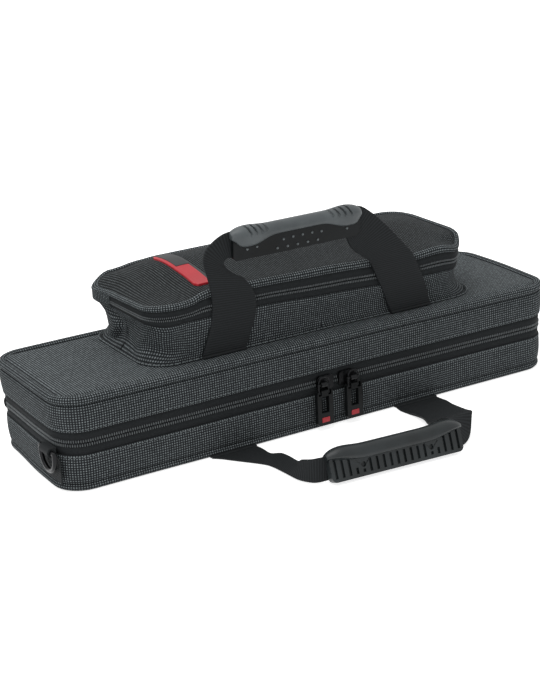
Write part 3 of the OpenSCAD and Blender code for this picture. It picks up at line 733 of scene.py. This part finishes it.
# the lining: a foam wall with its pile, whose rim shows inside the zip, and soft edges on insert and pad
lining = {"wall": 8.2 * mm, "softened": 3, "voxel": 1.6 * mm, "rimLow": 12 * mm, "rimGap": 0.6 * mm}


# a copy of a packed soft solid with its edges rounded over, as pile and foam are
def softCopy(name, node, body):
    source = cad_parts[node]
    bm = bmesh.new()
    bm.from_mesh(source.data)
    bmesh.ops.remove_doubles(bm, verts=bm.verts, dist=0.001 * mm)
    piece = makePiece(bm, name, liningPlush, recalc=False)
    addModifier(piece, "REMESH", mode="VOXEL", voxel_size=lining["voxel"], use_smooth_shade=True)
    addModifier(piece, "SMOOTH", factor=0.6, iterations=lining["softened"])
    freeze(piece)
    mesh = piece.data
    mesh.materials.clear()
    mesh.materials.append(liningPlush)
    mesh.polygons.foreach_set("use_smooth", [True] * len(mesh.polygons))
    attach(piece, body)
    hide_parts(node)


softCopy("baseInsert", "base_insert", "base")
softCopy("lidPad", "lid_pad", "lid")


def makeRims():
    wall = lining["wall"]
    for name, body, node, way in (("baseRim", "base", "base_foam", 1), ("lidRim", "lid", "lid_foam", -1)):
        lip, foot = zipHeight - way * lining["rimGap"], zipHeight - way * lining["rimLow"]
        outline = [(-2.8 * mm, foot), (-2.8 * mm, lip - 1.2 * mm * way), (-3.4 * mm, lip - 0.3 * mm * way)]
        outline += [(-4.4 * mm, lip), (-wall + 1.4 * mm, lip), (-wall + 0.4 * mm, lip - 0.4 * mm * way)]
        outline += [(-wall + 0.1 * mm, lip - 1.4 * mm * way), (-wall + 0.1 * mm, foot)]
        rim = sweep(outline, caseRun)
        relax(rim)
        makePiece(rim, name, liningPlush, body, [node])


makeRims()
print("lining made")

# the pocket on the lid, and the flap that closes it
pocket = {
    "radius": 22 * mm,
    "flapRadius": 22 * mm,
    "waist": 4 * mm,
    "footFront": 4 * mm,
    "cloth": 3.0 * mm,
    "welt": 2.65 * mm,
    "zipEnd": 22 * mm,
    "crown": 6 * mm,
    "cornerPull": 6.5 * mm,
    "cornerWay": (-1, 0.6, -0.35),
    "tipPush": 5 * mm,
    "tipWay": (-1, 0.4, 0),
    "loose": 0.9 * mm,
    "looserLeft": 2.2 * mm,
    "crumple": 20 * mm,
    "hinge": 58.2 * mm,
    "bend": 4 * mm,
}
# how far the pocket's edges stand above or below a level pocket, along the case, in millimetres
sag = {
    "wall": [(-134, 1.5), (-123, 0.5), (-88, 1.3), (-47, 1.3), (24, -2.3), (60, -4.2), (115, -4.8),
             (151, -4)],
    "front": [(-132, -2), (-118, -1), (-103, -0.5), (-87, 4.2), (-53, 3.6), (0, 2.4), (51, 0.3), (85, -3.5),
              (115, -1.5), (151, -5)],
    "back": [(-132, -7), (-112, 0.5), (-92, 3.5), (-75, 4.5), (0, 4.5), (60, 1.5), (90, 0.3), (122, 1.2),
             (151, 1)],
    "levelAlong": (118, 138),
    "levelFront": (-36, -26),
    "levelBack": (50, 36),
}
wallLow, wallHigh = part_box("pocket_wall")
flapLow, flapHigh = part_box("flap_welt_cord")
flapProud = 0.5 * mm
flapCentre = ((flapLow.x + flapHigh.x) / 2, (flapLow.y + flapHigh.y) / 2)
flapLength = flapHigh.x - flapLow.x - 2 * flapProud
flapWidth = flapHigh.y - flapLow.y - 2 * flapProud
flapTop = flapHigh.z - 1.5 * mm
pocketInset = 2 * pocket["welt"] - 1.4 * mm


def curveAt(points, x):
    for (x0, y0), (x1, y1) in zip(points, points[1:]):
        if x <= x1:
            return y0 + (y1 - y0) * smoothStep(x0, x1, x)
    return points[-1][1]


# the edges stay level beside the slider at the right end, so that it sits on the zip
def pocketLift(co, level):
    x, v = co.x / mm, min(1.0, max(0.0, (co.y - flapLow.y) / flapWidth))
    wall = curveAt(sag["wall"], x) * (1 - v)
    edge = curveAt(sag["front"], x) * (1 - v) + curveAt(sag["back"], x) * v
    share = min(1.0, max(0.0, (co.z - wallHigh.z) / (flapHigh.z - wallHigh.z)))
    nearSlider = smoothStep(*sag["levelAlong"], x) * smoothStep(*sag["levelFront"], co.y / mm)
    nearSlider *= smoothStep(*sag["levelBack"], co.y / mm)
    return (wall * min(1.0, level) * (1 - share) + edge * share) * (1 - nearSlider) * mm


# a soft fold stands in the wall at the left end: a sharp valley in front of a rounded ridge, on a line
# that bends back above and below one height; its places are in millimetres, and the ridge's in widths
fold = {
    "deep": 2.2 * mm,
    "wide": 3.0 * mm,
    "height": 18,
    "front": 12,
    "bendAbove": 0.17,
    "bendBelow": 0.08,
    "ridge": 0.6,
    "ridgeAway": 2.4,
    "ridgeWide": 1.6,
}


def foldAt(co):
    up = (co.z - wallLow.z) / mm - fold["height"]
    bend = fold["bendAbove"] if up > 0 else fold["bendBelow"]
    line, slope = (fold["front"] + bend * up * up) * mm, 2 * bend * up
    away = (co.y - line) / math.sqrt(1 + slope * slope) / fold["wide"]
    ridge = math.exp(-(((away - fold["ridgeAway"]) / fold["ridgeWide"]) ** 2))
    return fold["deep"] * (math.exp(-away * away) - fold["ridge"] * ridge)


# the pocket's cloth is drawn in above its foot and hangs unevenly, its left tip leans out at the back,
# and its front right corner is worn round; u runs from left to right, v from front to back
def pocketGive(co):
    level = max(0.0, (co.z - wallLow.z) / (wallHigh.z - wallLow.z))
    u = (co.x - flapCentre[0]) / (flapLength / 2)
    v = (co.y - flapCentre[1]) / (flapWidth / 2)
    drawn = smoothStep(0.0, 0.3, level) * smoothStep(1.12, 0.8, level)
    shift = slack(co)
    shift.x -= math.copysign(pocket["waist"], u) * drawn * smoothStep(0.7, 1.0, abs(u))
    loose = pocket["loose"] + pocket["looserLeft"] * smoothStep(-0.6, -0.9, u)
    crumple = noise.noise_vector(co / pocket["crumple"]) * loose * drawn
    crumple.y = math.copysign(crumple.y, -v)
    shift += crumple
    tip = smoothStep(-0.75, -1.0, u) * smoothStep(0.3, 0.9, v) * smoothStep(0.2, 1.0, level)
    shift += Vector(pocket["tipWay"]) * pocket["tipPush"] * tip
    corner = smoothStep(0.72, 1.0, u) * smoothStep(-0.3, -1.0, v) * smoothStep(0.0, 0.6, level)
    shift += Vector(pocket["cornerWay"]) * pocket["cornerPull"] * corner
    shift.x += foldAt(co) * smoothStep(-0.86, -0.94, u) * drawn
    shift.z += pocketLift(co, level)
    return shift


# the padded flap is fullest towards its back
def crownAt(x, y):
    u = min(1.0, abs(x - flapCentre[0]) / (flapLength / 2 - pocketInset))
    v = max(-1.0, min(1.0, (y - flapCentre[1]) / (flapWidth / 2 - pocketInset)))
    swell = ((1 - u ** 6) * (1 - abs(v) ** 3)) ** 0.7
    return pocket["crown"] * swell * (0.2 + 0.8 * smoothStep(-0.7, 0.5, v))


def makePocketWall():
    foot, head, depth = wallLow.z, wallHigh.z, pocket["cloth"]
    path = roundPath(flapLength, flapWidth, pocket["flapRadius"] + depth, flapCentre, 2 * mm, 16)
    levels = [0.0, 0.05, 0.1, 0.17, 0.25, 0.33, 0.42, 0.5, 0.58, 0.67, 0.75, 0.83, 0.9, 0.95, 1.0]
    outer = [(0.0, foot + (head - foot) * t) for t in levels]
    inner = [(-depth, foot + (head - foot) * t) for t in reversed(levels)]
    wall = sweep(outer + inner, path)
    flare = (wallHigh.x - wallLow.x - flapLength) / 2
    for vert in wall.verts:
        level = (vert.co.z - foot) / (head - foot)
        vert.co.x += math.copysign(flare, vert.co.x - flapCentre[0]) * smoothStep(0.3, 0.0, level)
        if vert.co.y < flapCentre[1]:
            vert.co.y += pocket["footFront"] * smoothStep(1.0, 0.35, level)
    relax(wall, pocketGive)
    makePiece(wall, "pocketWall", coverNylon, "lid", ["pocket_wall"])


def makePocketSeam():
    low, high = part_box("pocket_base_welt")
    foot, front = wallLow.z, low.y + 1.8 * mm
    length, width = high.x - low.x - 3.6 * mm, wallHigh.y - front
    path = roundPath(length, width, pocket["radius"], (flapCentre[0], (wallHigh.y + front) / 2), 6 * mm, 10)
    seam = sweep(tube((0.4 * mm, foot + 0.7 * mm), 1.1 * mm, 8), path)
    relax(seam, pocketGive)
    makePiece(seam, "pocketSeam", weltNylon, "lid", ["pocket_base_welt"])
    row = stitchRow(path, 1.3 * mm, foot + 1.5 * mm, "seam")
    relax(row, pocketGive)
    makePiece(row, "pocketStitches", thread, "lid")


def makeFlap(path):
    r, inset = pocket["welt"], pocketInset
    cord = sweep(tube((flapProud - r, flapHigh.z - r), r), path)
    relax(cord, pocketGive)
    makePiece(cord, "flapWelt", weltNylon, "flap", ["flap_welt_cord"])
    length, width = flapLength - 2 * inset, flapWidth - 2 * inset
    top = panel(length, width, pocket["flapRadius"] - inset, flapCentre, flapTop, 26, 60)
    for vert in top.verts:
        vert.co.z += crownAt(vert.co.x, vert.co.y)
    relax(top, pocketGive)
    thicken(top, 4.0 * mm)
    makePiece(top, "flapTop", flapNylonPaintedShade, "flap", ["flap_panel"])


def makePocket():
    makePocketWall()
    makePocketSeam()
    flapRun = roundPath(flapLength, flapWidth, pocket["flapRadius"], flapCentre, 6 * mm, 10)
    makeFlap(flapRun)
    start, end = runsPast(flapRun, pocket["zipEnd"])
    makeZip("pocket", flapRun, start, end, ("lid", "flap"), pocketGive)
    low, high = wallHigh.z - 0.5 * mm, flapLow.z + 1.0 * mm
    levels = [low + (high - low) * i / 8 for i in range(9)]
    profile = [(0.2 * mm, z) for z in levels] + [(-1.6 * mm, z) for z in reversed(levels)]
    makeHinge(
        "pocketHinge", profile, hingePath(flapRun, start, end), pocketGive, coverNylon,
        ["pocket_hinge_tape_lower", "pocket_hinge_tape_upper"])


makePocket()
print("pocket made")

# the label: a moulded rubber strip with a black inlay
label = {
    "rim": 2.4 * mm,
    "thick": 3.2 * mm,
    "cut": 2.2 * mm,
    "rise": 1.5 * mm,
    "inlayShare": 0.52,
    "tail": 5 * mm,
    "lean": 4.5 * mm,
    "leanFrom": -5 * mm,
    "leanTo": -55 * mm,
}


# a strip that follows the flap's crown, with its corners cut off; it leans to the left towards the front
def labelStrip(left, right, front, back, rise, cut):
    bm = bmesh.new()
    bmesh.ops.create_grid(bm, x_segments=4, y_segments=16, size=1)
    for vert in bm.verts:
        y = front + (back - front) * (vert.co.y + 1) / 2
        half = (right - left) / 2 - max(0.0, cut - min(y - front, back - y))
        lean = label["lean"] * smoothStep(label["leanFrom"], label["leanTo"], y)
        x = (left + right) / 2 + vert.co.x * half - lean
        vert.co = Vector((x, y, flapTop + crownAt(x, y) + rise))
    relax(bm, pocketGive)
    thicken(bm, label["thick"])
    return bm


def makeLabel():
    low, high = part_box("label_frame")
    rim, cut, rise = label["rim"], label["cut"], label["rise"]
    middle = high.y - (high.y - low.y) * label["inlayShare"]
    red = (low.x, high.x - 1 * mm, low.y - label["tail"], high.y)
    black = (low.x + rim, high.x - 0.4 * mm, middle, high.y - rim / 2)
    # a black strip along the label's right side: its base, and painted shadow where it runs past the label
    edge = (high.x - rim, high.x + 1.4 * mm, low.y + cut, high.y - cut)
    for name, box, up, corner, material, node, slot in (
        ("labelRed", red, rise, cut, labelRubber, ["label_frame"], "label_red"),
        ("labelBlack", black, rise + 0.35 * mm, 0.0, inlayRubber, ["label_inlay"], "label_black"),
        ("labelEdgePaintedShadow", edge, rise - 0.4 * mm, 0.0, inlayRubber, [], "label_black"),
    ):
        piece = makePiece(labelStrip(*box, up, corner), name, material, "flap", node, smooth=False)
        softenEdges(piece, 0.6 * mm, 40)


makeLabel()
print("label made")

# the handles' webbing
strapLook = {
    "thick": 1.9 * mm,
    "acrossSteps": 8,
    "betweenSteps": 4,
    "bead": 1.1 * mm,
    "floor": 0.15 * mm,
    "edge": 0.35 * mm,
}
# each station is the left edge and the right edge of the webbing, in mm, from its sewn end to the grip
topLeft = [
    ((-94, -46.9, 70.5), (-58, -46.9, 70.5)),
    ((-89.5, -47, 82.5), (-53.7, -47, 81)),
    ((-86, -48, 94.5), (-49.4, -48, 93.5)),
    ((-84.7, -49.2, 107.5), (-49, -49.5, 105.5)),
    ((-86.5, -52, 120.5), (-52.5, -50.5, 116)),
    ((-89.8, -54, 132.5), (-58.6, -51, 124.5)),
    ((-92.2, -55, 143.5), (-68.6, -51, 131.2)),
    ((-90, -55, 151.5), (-75, -52, 138)),
    ((-81.5, -55, 158.1), (-73.5, -53, 142)),
    ((-72, -55, 161.5), (-69, -54, 142.5)),
    ((-58, -55, 161.5), (-58, -54, 143.5)),
]
topRight = [
    ((69.5, -46.9, 70.5), (106, -46.9, 70.5)),
    ((65.6, -47, 80.5), (103.2, -47.5, 80.5)),
    ((62.1, -48, 88.9), (100, -48.8, 89.5)),
    ((55.1, -49.5, 103.5), (92, -51, 106)),
    ((48.8, -51, 115.5), (85.5, -53.5, 116.5)),
    ((40, -52.5, 122.5), (72, -55, 131.5)),
    ((33, -53, 128.5), (60, -55, 144.5)),
    ((29, -54, 134.5), (48, -55, 155.5)),
    ((26, -54.5, 140.5), (38, -55, 161.5)),
    ((20, -54.5, 143.5), (24, -55, 161.5)),
]
bottomLeft = [
    ((-101, -65, 1.2), (-64, -65, 1.2)),
    ((-96, -70, 1.2), (-63, -72, 1.2)),
    ((-89.5, -79, 1.3), (-63, -84, 1.6)),
    ((-78, -95, 1.3), (-59.6, -93, 4)),
    ((-74.5, -104, 1.2), (-60.2, -106, 6)),
    ((-73.2, -122.7, 1.2), (-65.8, -126.4, 11)),
    ((-72, -136, 1.2), (-67.5, -134, 15)),
    ((-67, -146, 1.2), (-66, -144.5, 18)),
    ((-60, -149, 1.2), (-58.8, -149, 19)),
    ((-46, -151, 2.5), (-46, -150, 18)),
]
bottomRight = [
    ((60, -65, 1.2), (97, -65, 1.2)),
    ((59, -72, 1.2), (97.3, -72, 1.4)),
    ((60, -84, 2.5), (92, -86, 5.5)),
    ((57, -103, 6), (86, -101.6, 9)),
    ((49, -121, 9.5), (80, -126, 14)),
    ((47, -133, 15), (75.5, -139, 18)),
    ((48, -139.5, 19), (73.5, -142, 16)),
    ((49, -145, 20.5), (64, -151.5, 4)),
    ((47, -150, 20.5), (51, -157, 1.5)),
    ((38, -150, 19.5), (38, -156, 3.5)),
]


# a smooth curve through points, each stretch of it shaped by its two neighbours
def curveThrough(points, steps):
    made = []
    for i in range(len(points) - 1):
        a, b, c, d = (points[min(max(k, 0), len(points) - 1)] for k in (i - 1, i, i + 1, i + 2))
        for s in range(steps):
            t = s / steps
            bend, twist = 2 * a - 5 * b + 4 * c - d, 3 * b - a - 3 * c + d
            made.append(0.5 * ((2 * b) + (c - a) * t + bend * t * t + twist * t ** 3))
    made.append(points[-1])
    return made


def addRod(bm, radius, depth, spot, segments):
    bmesh.ops.create_cone(
        bm, cap_ends=True, segments=segments, radius1=radius, radius2=radius, depth=depth, matrix=spot)


def strap(name, stations, body, node):
    steps = strapLook["betweenSteps"]
    left = curveThrough([Vector(s[0]) * mm for s in stations], steps)
    right = curveThrough([Vector(s[1]) * mm for s in stations], steps)
    across = strapLook["acrossSteps"]
    bm = bmesh.new()
    uv = bm.loops.layers.uv.new("weave")
    runOf = bm.verts.layers.float.new("run")
    reachOf = bm.verts.layers.float.new("reach")
    width = (right[0] - left[0]).length
    row = []
    for i in range(across + 1):
        vert = bm.verts.new(left[0].lerp(right[0], i / across))
        vert[reachOf] = width * i / across
        row.append(vert)
    edges = [bm.edges.new(pair) for pair in zip(row, row[1:])]
    run = 0.0
    for k in range(1, len(left)):
        verts, faces, edges = extrudeRow(bm, edges)
        run += ((left[k] + right[k]) / 2 - (left[k - 1] + right[k - 1]) / 2).length
        for vert in verts:
            vert.co = left[k].lerp(right[k], vert[reachOf] / width)
            vert[runOf] = run
        layWeave(faces, uv, lambda vert: (vert[runOf], vert[reachOf]))
    thicken(bm, strapLook["thick"])
    for vert in bm.verts:
        vert.co.z = max(vert.co.z, strapLook["floor"])  # the lower handle lies on the floor
    root = Vector(((left[0].x + right[0].x) / 2, left[0].y, left[0].z))
    spot = Matrix.Translation(root) @ Matrix.Rotation(math.pi / 2, 4, "Y")
    addRod(bm, strapLook["bead"], width, spot, 12)  # a rolled bead where the webbing leaves its seam
    softenEdges(makePiece(bm, name, webbing, body, [node]), strapLook["edge"], 50)


strap("topStrapLeft", topLeft, "top_handle", "top_strap_left")
strap("topStrapRight", topRight, "top_handle", "top_strap_right")
strap("bottomStrapLeft", bottomLeft, "bottom_handle", "bottom_strap_left")
strap("bottomStrapRight", bottomRight, "bottom_handle", "bottom_strap_right")


# webbing sewn down flat: the ends of the handles and the D-rings' patches
def flatWebbing(name, node, body):
    low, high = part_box(node)
    bm = bmesh.new()
    uv = bm.loops.layers.uv.new("weave")
    size = high - low
    spot = Matrix.Translation((low + high) / 2) @ Matrix.Diagonal((*size, 1))
    bmesh.ops.create_cube(bm, size=1, matrix=spot)
    lying = size.z < min(size.x, size.y)
    layWeave(bm.faces, uv, lambda vert: (vert.co.y, vert.co.x) if lying else (vert.co.z, vert.co.y))
    softenEdges(makePiece(bm, name, webbing, body, [node], smooth=False), strapLook["edge"])


for side in ("left", "right"):
    tag = side.capitalize()
    flatWebbing("topAnchor" + tag, "top_strap_anchor_" + side, "lid")
    flatWebbing("bottomAnchor" + tag, "bottom_strap_anchor_" + side, "base")
    flatWebbing("ringPatch" + tag, "d_ring_patch_" + side, "base")
print("webbing made")

# the grips: a cap over the webbing and a wing that hangs from it; slots and studs are generic
grip = {
    "length": 109 * mm,
    "radius": 7.6 * mm,
    "wing": 16.5 * mm,
    "wingThick": 6.4 * mm,
    "endRound": 0.76,
    "slots": 19,
    "slotWide": 2.1 * mm,
    "slotDeep": 2.6 * mm,
    "pitch": 5.5 * mm,
    "slotTop": 1.3 * mm,
    "slotFoot": 2.4 * mm,
    "holeSlot": 4,
    "holeRadius": 2 * mm,
    "holeDown": 8.2 * mm,
    "underHole": (11.4 * mm, 2.8 * mm),
    "besideHole": 9.6 * mm,
    "barSize": (0.9 * mm, 1.4 * mm, 6.5 * mm),
    "barOut": 3.4 * mm,
    "barDown": 6.6 * mm,
    "barTurn": 48,
    "corner": 3.5 * mm,
    "edge": 0.35 * mm,
    "capSteps": 36,
    "capSlots": (27.6, 32.4, 37.2, 42),
    "capSlotSize": (1.4 * mm, 15 * mm, 3.8 * mm),
    "capLean": 32,
    "capSlant": 18,
    "studRadius": 1.0 * mm,
    "studs": ((-42, -9), (-34, -8.5), (-17, -13), (-8.5, -13), (0, -13), (8.5, -13), (17, -13), (-12, -7),
              (-4, -6.5), (4, -6.5), (12, -6.5), (20, -7), (42, -9)),
}


# how far down the smooth cap reaches on each face: one dips at its ends, the other in the middle
def capEdge(x, dipsAtEnds):
    t = abs(x) / (grip["length"] / 2)
    if dipsAtEnds:
        return (-0.3 - 5.2 * smoothStep(0.35, 0.72, t) + 5.5 * smoothStep(0.87, 1.0, t)) * mm
    return (-3.6 + 4.6 * smoothStep(0.45, 0.95, t)) * mm


# the cap's outline at one place along it, narrowed towards its ends
def capRing(x, frontDips):
    t = abs(x) / (grip["length"] / 2)
    narrowed = math.sqrt(1 - (max(0, t - grip["endRound"]) / (1 - grip["endRound"])) ** 2 * 0.75)
    r = grip["radius"] * (0.9 + 0.17 * smoothStep(0.45, 0.75, t)) * narrowed
    front, back = capEdge(x, frontDips), capEdge(x, not frontDips)
    ring = [(-r * 0.80, front - 0.5 * mm), (-r, front)]
    for i in range(1, 12):
        a = math.pi * i / 12
        ring.append((-r * math.cos(a), r * math.sin(a) * 0.98))
    ring += [(r, back), (r * 0.80, back - 0.5 * mm)]
    return [(x, y, z) for y, z in ring]


def addBox(bm, centre, size, turn=Matrix()):
    bmesh.ops.create_cube(bm, size=1, matrix=Matrix.Translation(centre) @ turn @ Matrix.Diagonal((*size, 1)))


def cutAway(piece, cutter, material, **settings):
    tool = makePiece(cutter, "cutter", material)
    addModifier(piece, "BOOLEAN", operation="DIFFERENCE", solver="EXACT", object=tool, **settings)
    freeze(piece)
    bpy.data.objects.remove(tool)


# the cap: the one whose front dips has slanting slots near its ends
def makeCap(prefix, material, body, node, place, frontDips):
    half = grip["length"] / 2
    count = grip["capSteps"]
    bm = bmesh.new()
    rings = []
    for i in range(count + 1):
        x = -half * math.cos(math.pi * i / count)
        rings.append([bm.verts.new(p) for p in capRing(x, frontDips)])
    for a, b in zip(rings, rings[1:]):
        edgesA = [bm.edges.get(p) or bm.edges.new(p) for p in zip(a, a[1:] + a[:1])]
        edgesB = [bm.edges.get(p) or bm.edges.new(p) for p in zip(b, b[1:] + b[:1])]
        bmesh.ops.bridge_loops(bm, edges=edgesA + edgesB)
    for ring in (rings[0], rings[-1]):
        bmesh.ops.contextual_create(bm, geom=ring)
    cap = makePiece(bm, prefix + "Cap", material, body, [node])
    addModifier(cap, "SUBSURF", levels=1, render_levels=1)
    if frontDips:
        freeze(cap)
        cutter = bmesh.new()
        lean = Matrix.Rotation(math.radians(grip["capLean"]), 4, "X")
        slant = lean @ Matrix.Rotation(math.radians(grip["capSlant"]), 4, "Z")
        for x in grip["capSlots"]:
            for side in (-1, 1):
                centre = lean @ Vector((side * x * mm, 0, grip["radius"]))
                addBox(cutter, centre, grip["capSlotSize"], slant)
        cutAway(cap, cutter, material)
        addModifier(cap, "WEIGHTED_NORMAL", keep_sharp=True)
    cap.data.transform(place)


# the wing: one face has upright slots, and two holes under slanting bars; the other has small studs
def makeWing(prefix, material, body, place, frontDips):
    bm = bmesh.new()
    long, thick = grip["length"] - 2.5 * mm, grip["wingThick"]
    addBox(bm, (0, 0, -grip["wing"] / 2 + 1 * mm), (long, thick, grip["wing"] + 2 * mm))
    through = [e for e in bm.edges if abs((e.verts[0].co - e.verts[1].co).y) > 1 * mm]
    rounded = {"offset": grip["corner"], "segments": 4, "affect": "EDGES", "profile": 0.5}
    bmesh.ops.bevel(bm, geom=through, material=-1, **rounded)
    wing = makePiece(bm, prefix + "Wing", material, None, [], smooth=False)
    cutter = bmesh.new()
    ribbed = 1 if frontDips else -1
    face, deep = ribbed * thick / 2, grip["slotDeep"]
    for n in range(grip["slots"]):
        x = (n - (grip["slots"] - 1) / 2) * grip["pitch"]
        fromEnd = min(n, grip["slots"] - 1 - n)
        top, bottom = capEdge(x, False) - grip["slotTop"], grip["slotFoot"] - grip["wing"]
        if fromEnd == grip["holeSlot"]:
            spot = Matrix.Translation((x, face, -grip["holeDown"])) @ Matrix.Rotation(math.pi / 2, 4, "X")
            addRod(cutter, grip["holeRadius"], 2 * deep, spot, 16)
            for side in (-1, 1):
                turn = Matrix.Rotation(side * math.radians(grip["barTurn"]), 4, "Y")
                addBox(cutter, (x + side * grip["barOut"], face, -grip["barDown"]), grip["barSize"], turn)
            top, bottom = -grip["underHole"][0], grip["underHole"][1] - grip["wing"]
        elif fromEnd == grip["holeSlot"] - 1:
            top = -grip["besideHole"]
        addBox(cutter, (x, face, (top + bottom) / 2), (grip["slotWide"], 2 * deep, top - bottom))
    cutAway(wing, cutter, material, use_self=True)
    softenEdges(wing, grip["edge"])
    freeze(wing)
    wing.data.transform(place)
    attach(wing, body)

    bm = bmesh.new()
    for x, z in grip["studs"]:
        spot = Matrix.Translation((x * mm, -face, z * mm))
        bmesh.ops.create_uvsphere(bm, u_segments=10, v_segments=6, radius=grip["studRadius"], matrix=spot)
    bmesh.ops.transform(bm, matrix=place, verts=bm.verts)
    makePiece(bm, prefix + "Studs", studRubberPaintedHighlight, body)


def gripPlace(pivot, offset, lean, yaw):
    turn = Matrix.Rotation(math.radians(yaw), 4, "Z") @ Matrix.Rotation(math.radians(lean), 4, "X")
    return Matrix.Translation((Vector(pivot) + Vector(offset)) * mm) @ turn


def makeGrip(prefix, capMaterial, wingMaterial, body, node, place, frontDips):
    makeCap(prefix, capMaterial, body, node, place, frontDips)
    makeWing(prefix, wingMaterial, body, place, frontDips)


# the top grip stands on its straps, and the bottom one lies tipped back in front of the case
topPlace = gripPlace((0, -47, 70.45), (-16.7, -8.2, 86.4), 6, 0)
bottomPlace = gripPlace((0, -65, 1.2), (-4, -88.8, 15.8), -20, -3.7)
makeGrip("topGrip", gripRubber, topWingRubberPaintedShade, "top_handle", "top_grip", topPlace, True)
makeGrip("bottomGrip", bottomGripRubberPaintedShade, bottomGripRubberPaintedShade, "bottom_handle", "bottom_grip", bottomPlace, False)
print("grips made")


# D-rings, sliders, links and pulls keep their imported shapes, and get their finish
def refinish(material, *names):
    for name in names:
        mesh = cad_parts[name].data
        mesh.materials.clear()
        mesh.materials.append(material)


refinish(platedSteel, "d_ring_left", "d_ring_right", "slider_left", "slider_right", "pocket_slider")
refinish(platedSteel, "zip_link_left", "zip_link_right", "pocket_zip_link")
refinish(pullRubber, "zip_pull_left", "zip_pull_right", "pocket_zip_pull")
refinish(webbing, "d_ring_tab_left", "d_ring_tab_right")


# a plain red bar on each pull's end, and a wire arch over each slider's lug
pullLook = {
    "bar": (6.6 * mm, 1.0 * mm, 3.8 * mm),
    "barDown": 27.2 * mm,
    "barRound": 0.4 * mm,
    "arch": 4.4 * mm,
    "archUp": 1.6 * mm,
    "wire": 0.6 * mm,
}


def makeZipTrim():
    for side in ("left", "right"):
        low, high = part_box("zip_pull_" + side)
        middle, face = (low.x + high.x) / 2, low.y
        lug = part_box("zip_link_" + side)[1].z - 1.05 * mm
        bm = bmesh.new()
        addBox(bm, (middle, face, lug - pullLook["barDown"]), pullLook["bar"])
        rounded = {"offset": pullLook["barRound"], "segments": 2, "affect": "EDGES", "profile": 0.5}
        bmesh.ops.bevel(bm, geom=bm.edges[:], material=-1, **rounded)
        makePiece(bm, side + "PullBar", markRubber, side + "_pull", smooth=False)
        bm = bmesh.new()
        pivot = Vector((middle, face + 1.4 * mm, lug + pullLook["archUp"]))
        spot = Matrix.Translation(pivot + Vector((pullLook["arch"], 0, 0)))
        bmesh.ops.create_circle(bm, segments=8, radius=pullLook["wire"], matrix=spot)
        wire = bm.verts[:] + bm.edges[:]
        bmesh.ops.spin(bm, geom=wire, cent=pivot, axis=(0, -1, 0), angle=math.pi, steps=16)
        makePiece(bm, side + "SliderArch", platedSteel, side + "_slider")


makeZipTrim()
print("zip trim made")


# a pale paper floor in a white room, both brighter to the camera and in glosses than as light on the case
studio = {
    "floorGlow": 0.72,
    "roomLight": 0.55,
    "aim": (0, 0, 0.05),
    "lamps": (("topSoftbox", (-0.5, 0.2, 2.0), 1.6, 20), ("frontFill", (-1.8, -2.0, 1.1), 1.6, 10)),
}


def makeStage():
    bm = bmesh.new()
    bmesh.ops.create_grid(bm, x_segments=1, y_segments=1, size=6)
    paper, tree, shader = newMaterial("palePaper", Base_Color=toLinear("#f4f4f4"), Roughness=0.9)
    floor = makePiece(bm, "floor", paper, recalc=False)
    floor.location.z = -0.2 * mm
    path = addNode(tree, "ShaderNodeLightPath")
    rays = {0: path.outputs["Is Camera Ray"], 1: path.outputs["Is Glossy Ray"]}
    seen = addNode(tree, "ShaderNodeMath", rays, operation="MAXIMUM")
    power = addNode(tree, "ShaderNodeMath", {0: seen, 1: studio["floorGlow"]}, operation="MULTIPLY")
    glow = addNode(tree, "ShaderNodeEmission", {"Color": (1, 1, 1, 1), "Strength": power})
    both = addNode(tree, "ShaderNodeAddShader", {0: shader, 1: glow})
    tree.links.new(both.outputs[0], tree.nodes["Material Output"].inputs[0])

    world = bpy.data.worlds.new("studio")
    world.use_nodes = True
    scene.world = world
    tree = world.node_tree
    path = addNode(tree, "ShaderNodeLightPath")
    rays = {0: path.outputs["Is Camera Ray"], 1: path.outputs["Is Glossy Ray"]}
    seen = addNode(tree, "ShaderNodeMath", rays, operation="MAXIMUM")
    power = addNode(tree, "ShaderNodeMapRange", {0: seen, 3: studio["roomLight"], 4: 1.0})
    back = tree.nodes["Background"]
    back.inputs[0].default_value = (1, 1, 1, 1)
    tree.links.new(power.outputs[0], back.inputs[1])

    for name, place, size, watts in studio["lamps"]:
        data = bpy.data.lights.new(name, "AREA")
        data.shape = "SQUARE"
        data.size = size
        data.energy = watts
        lamp = bpy.data.objects.new(name, data)
        scene.collection.objects.link(lamp)
        lamp.location = place
        lamp.rotation_euler = (Vector(place) - Vector(studio["aim"])).to_track_quat("Z", "Y").to_euler()


makeStage()
print("stage made")
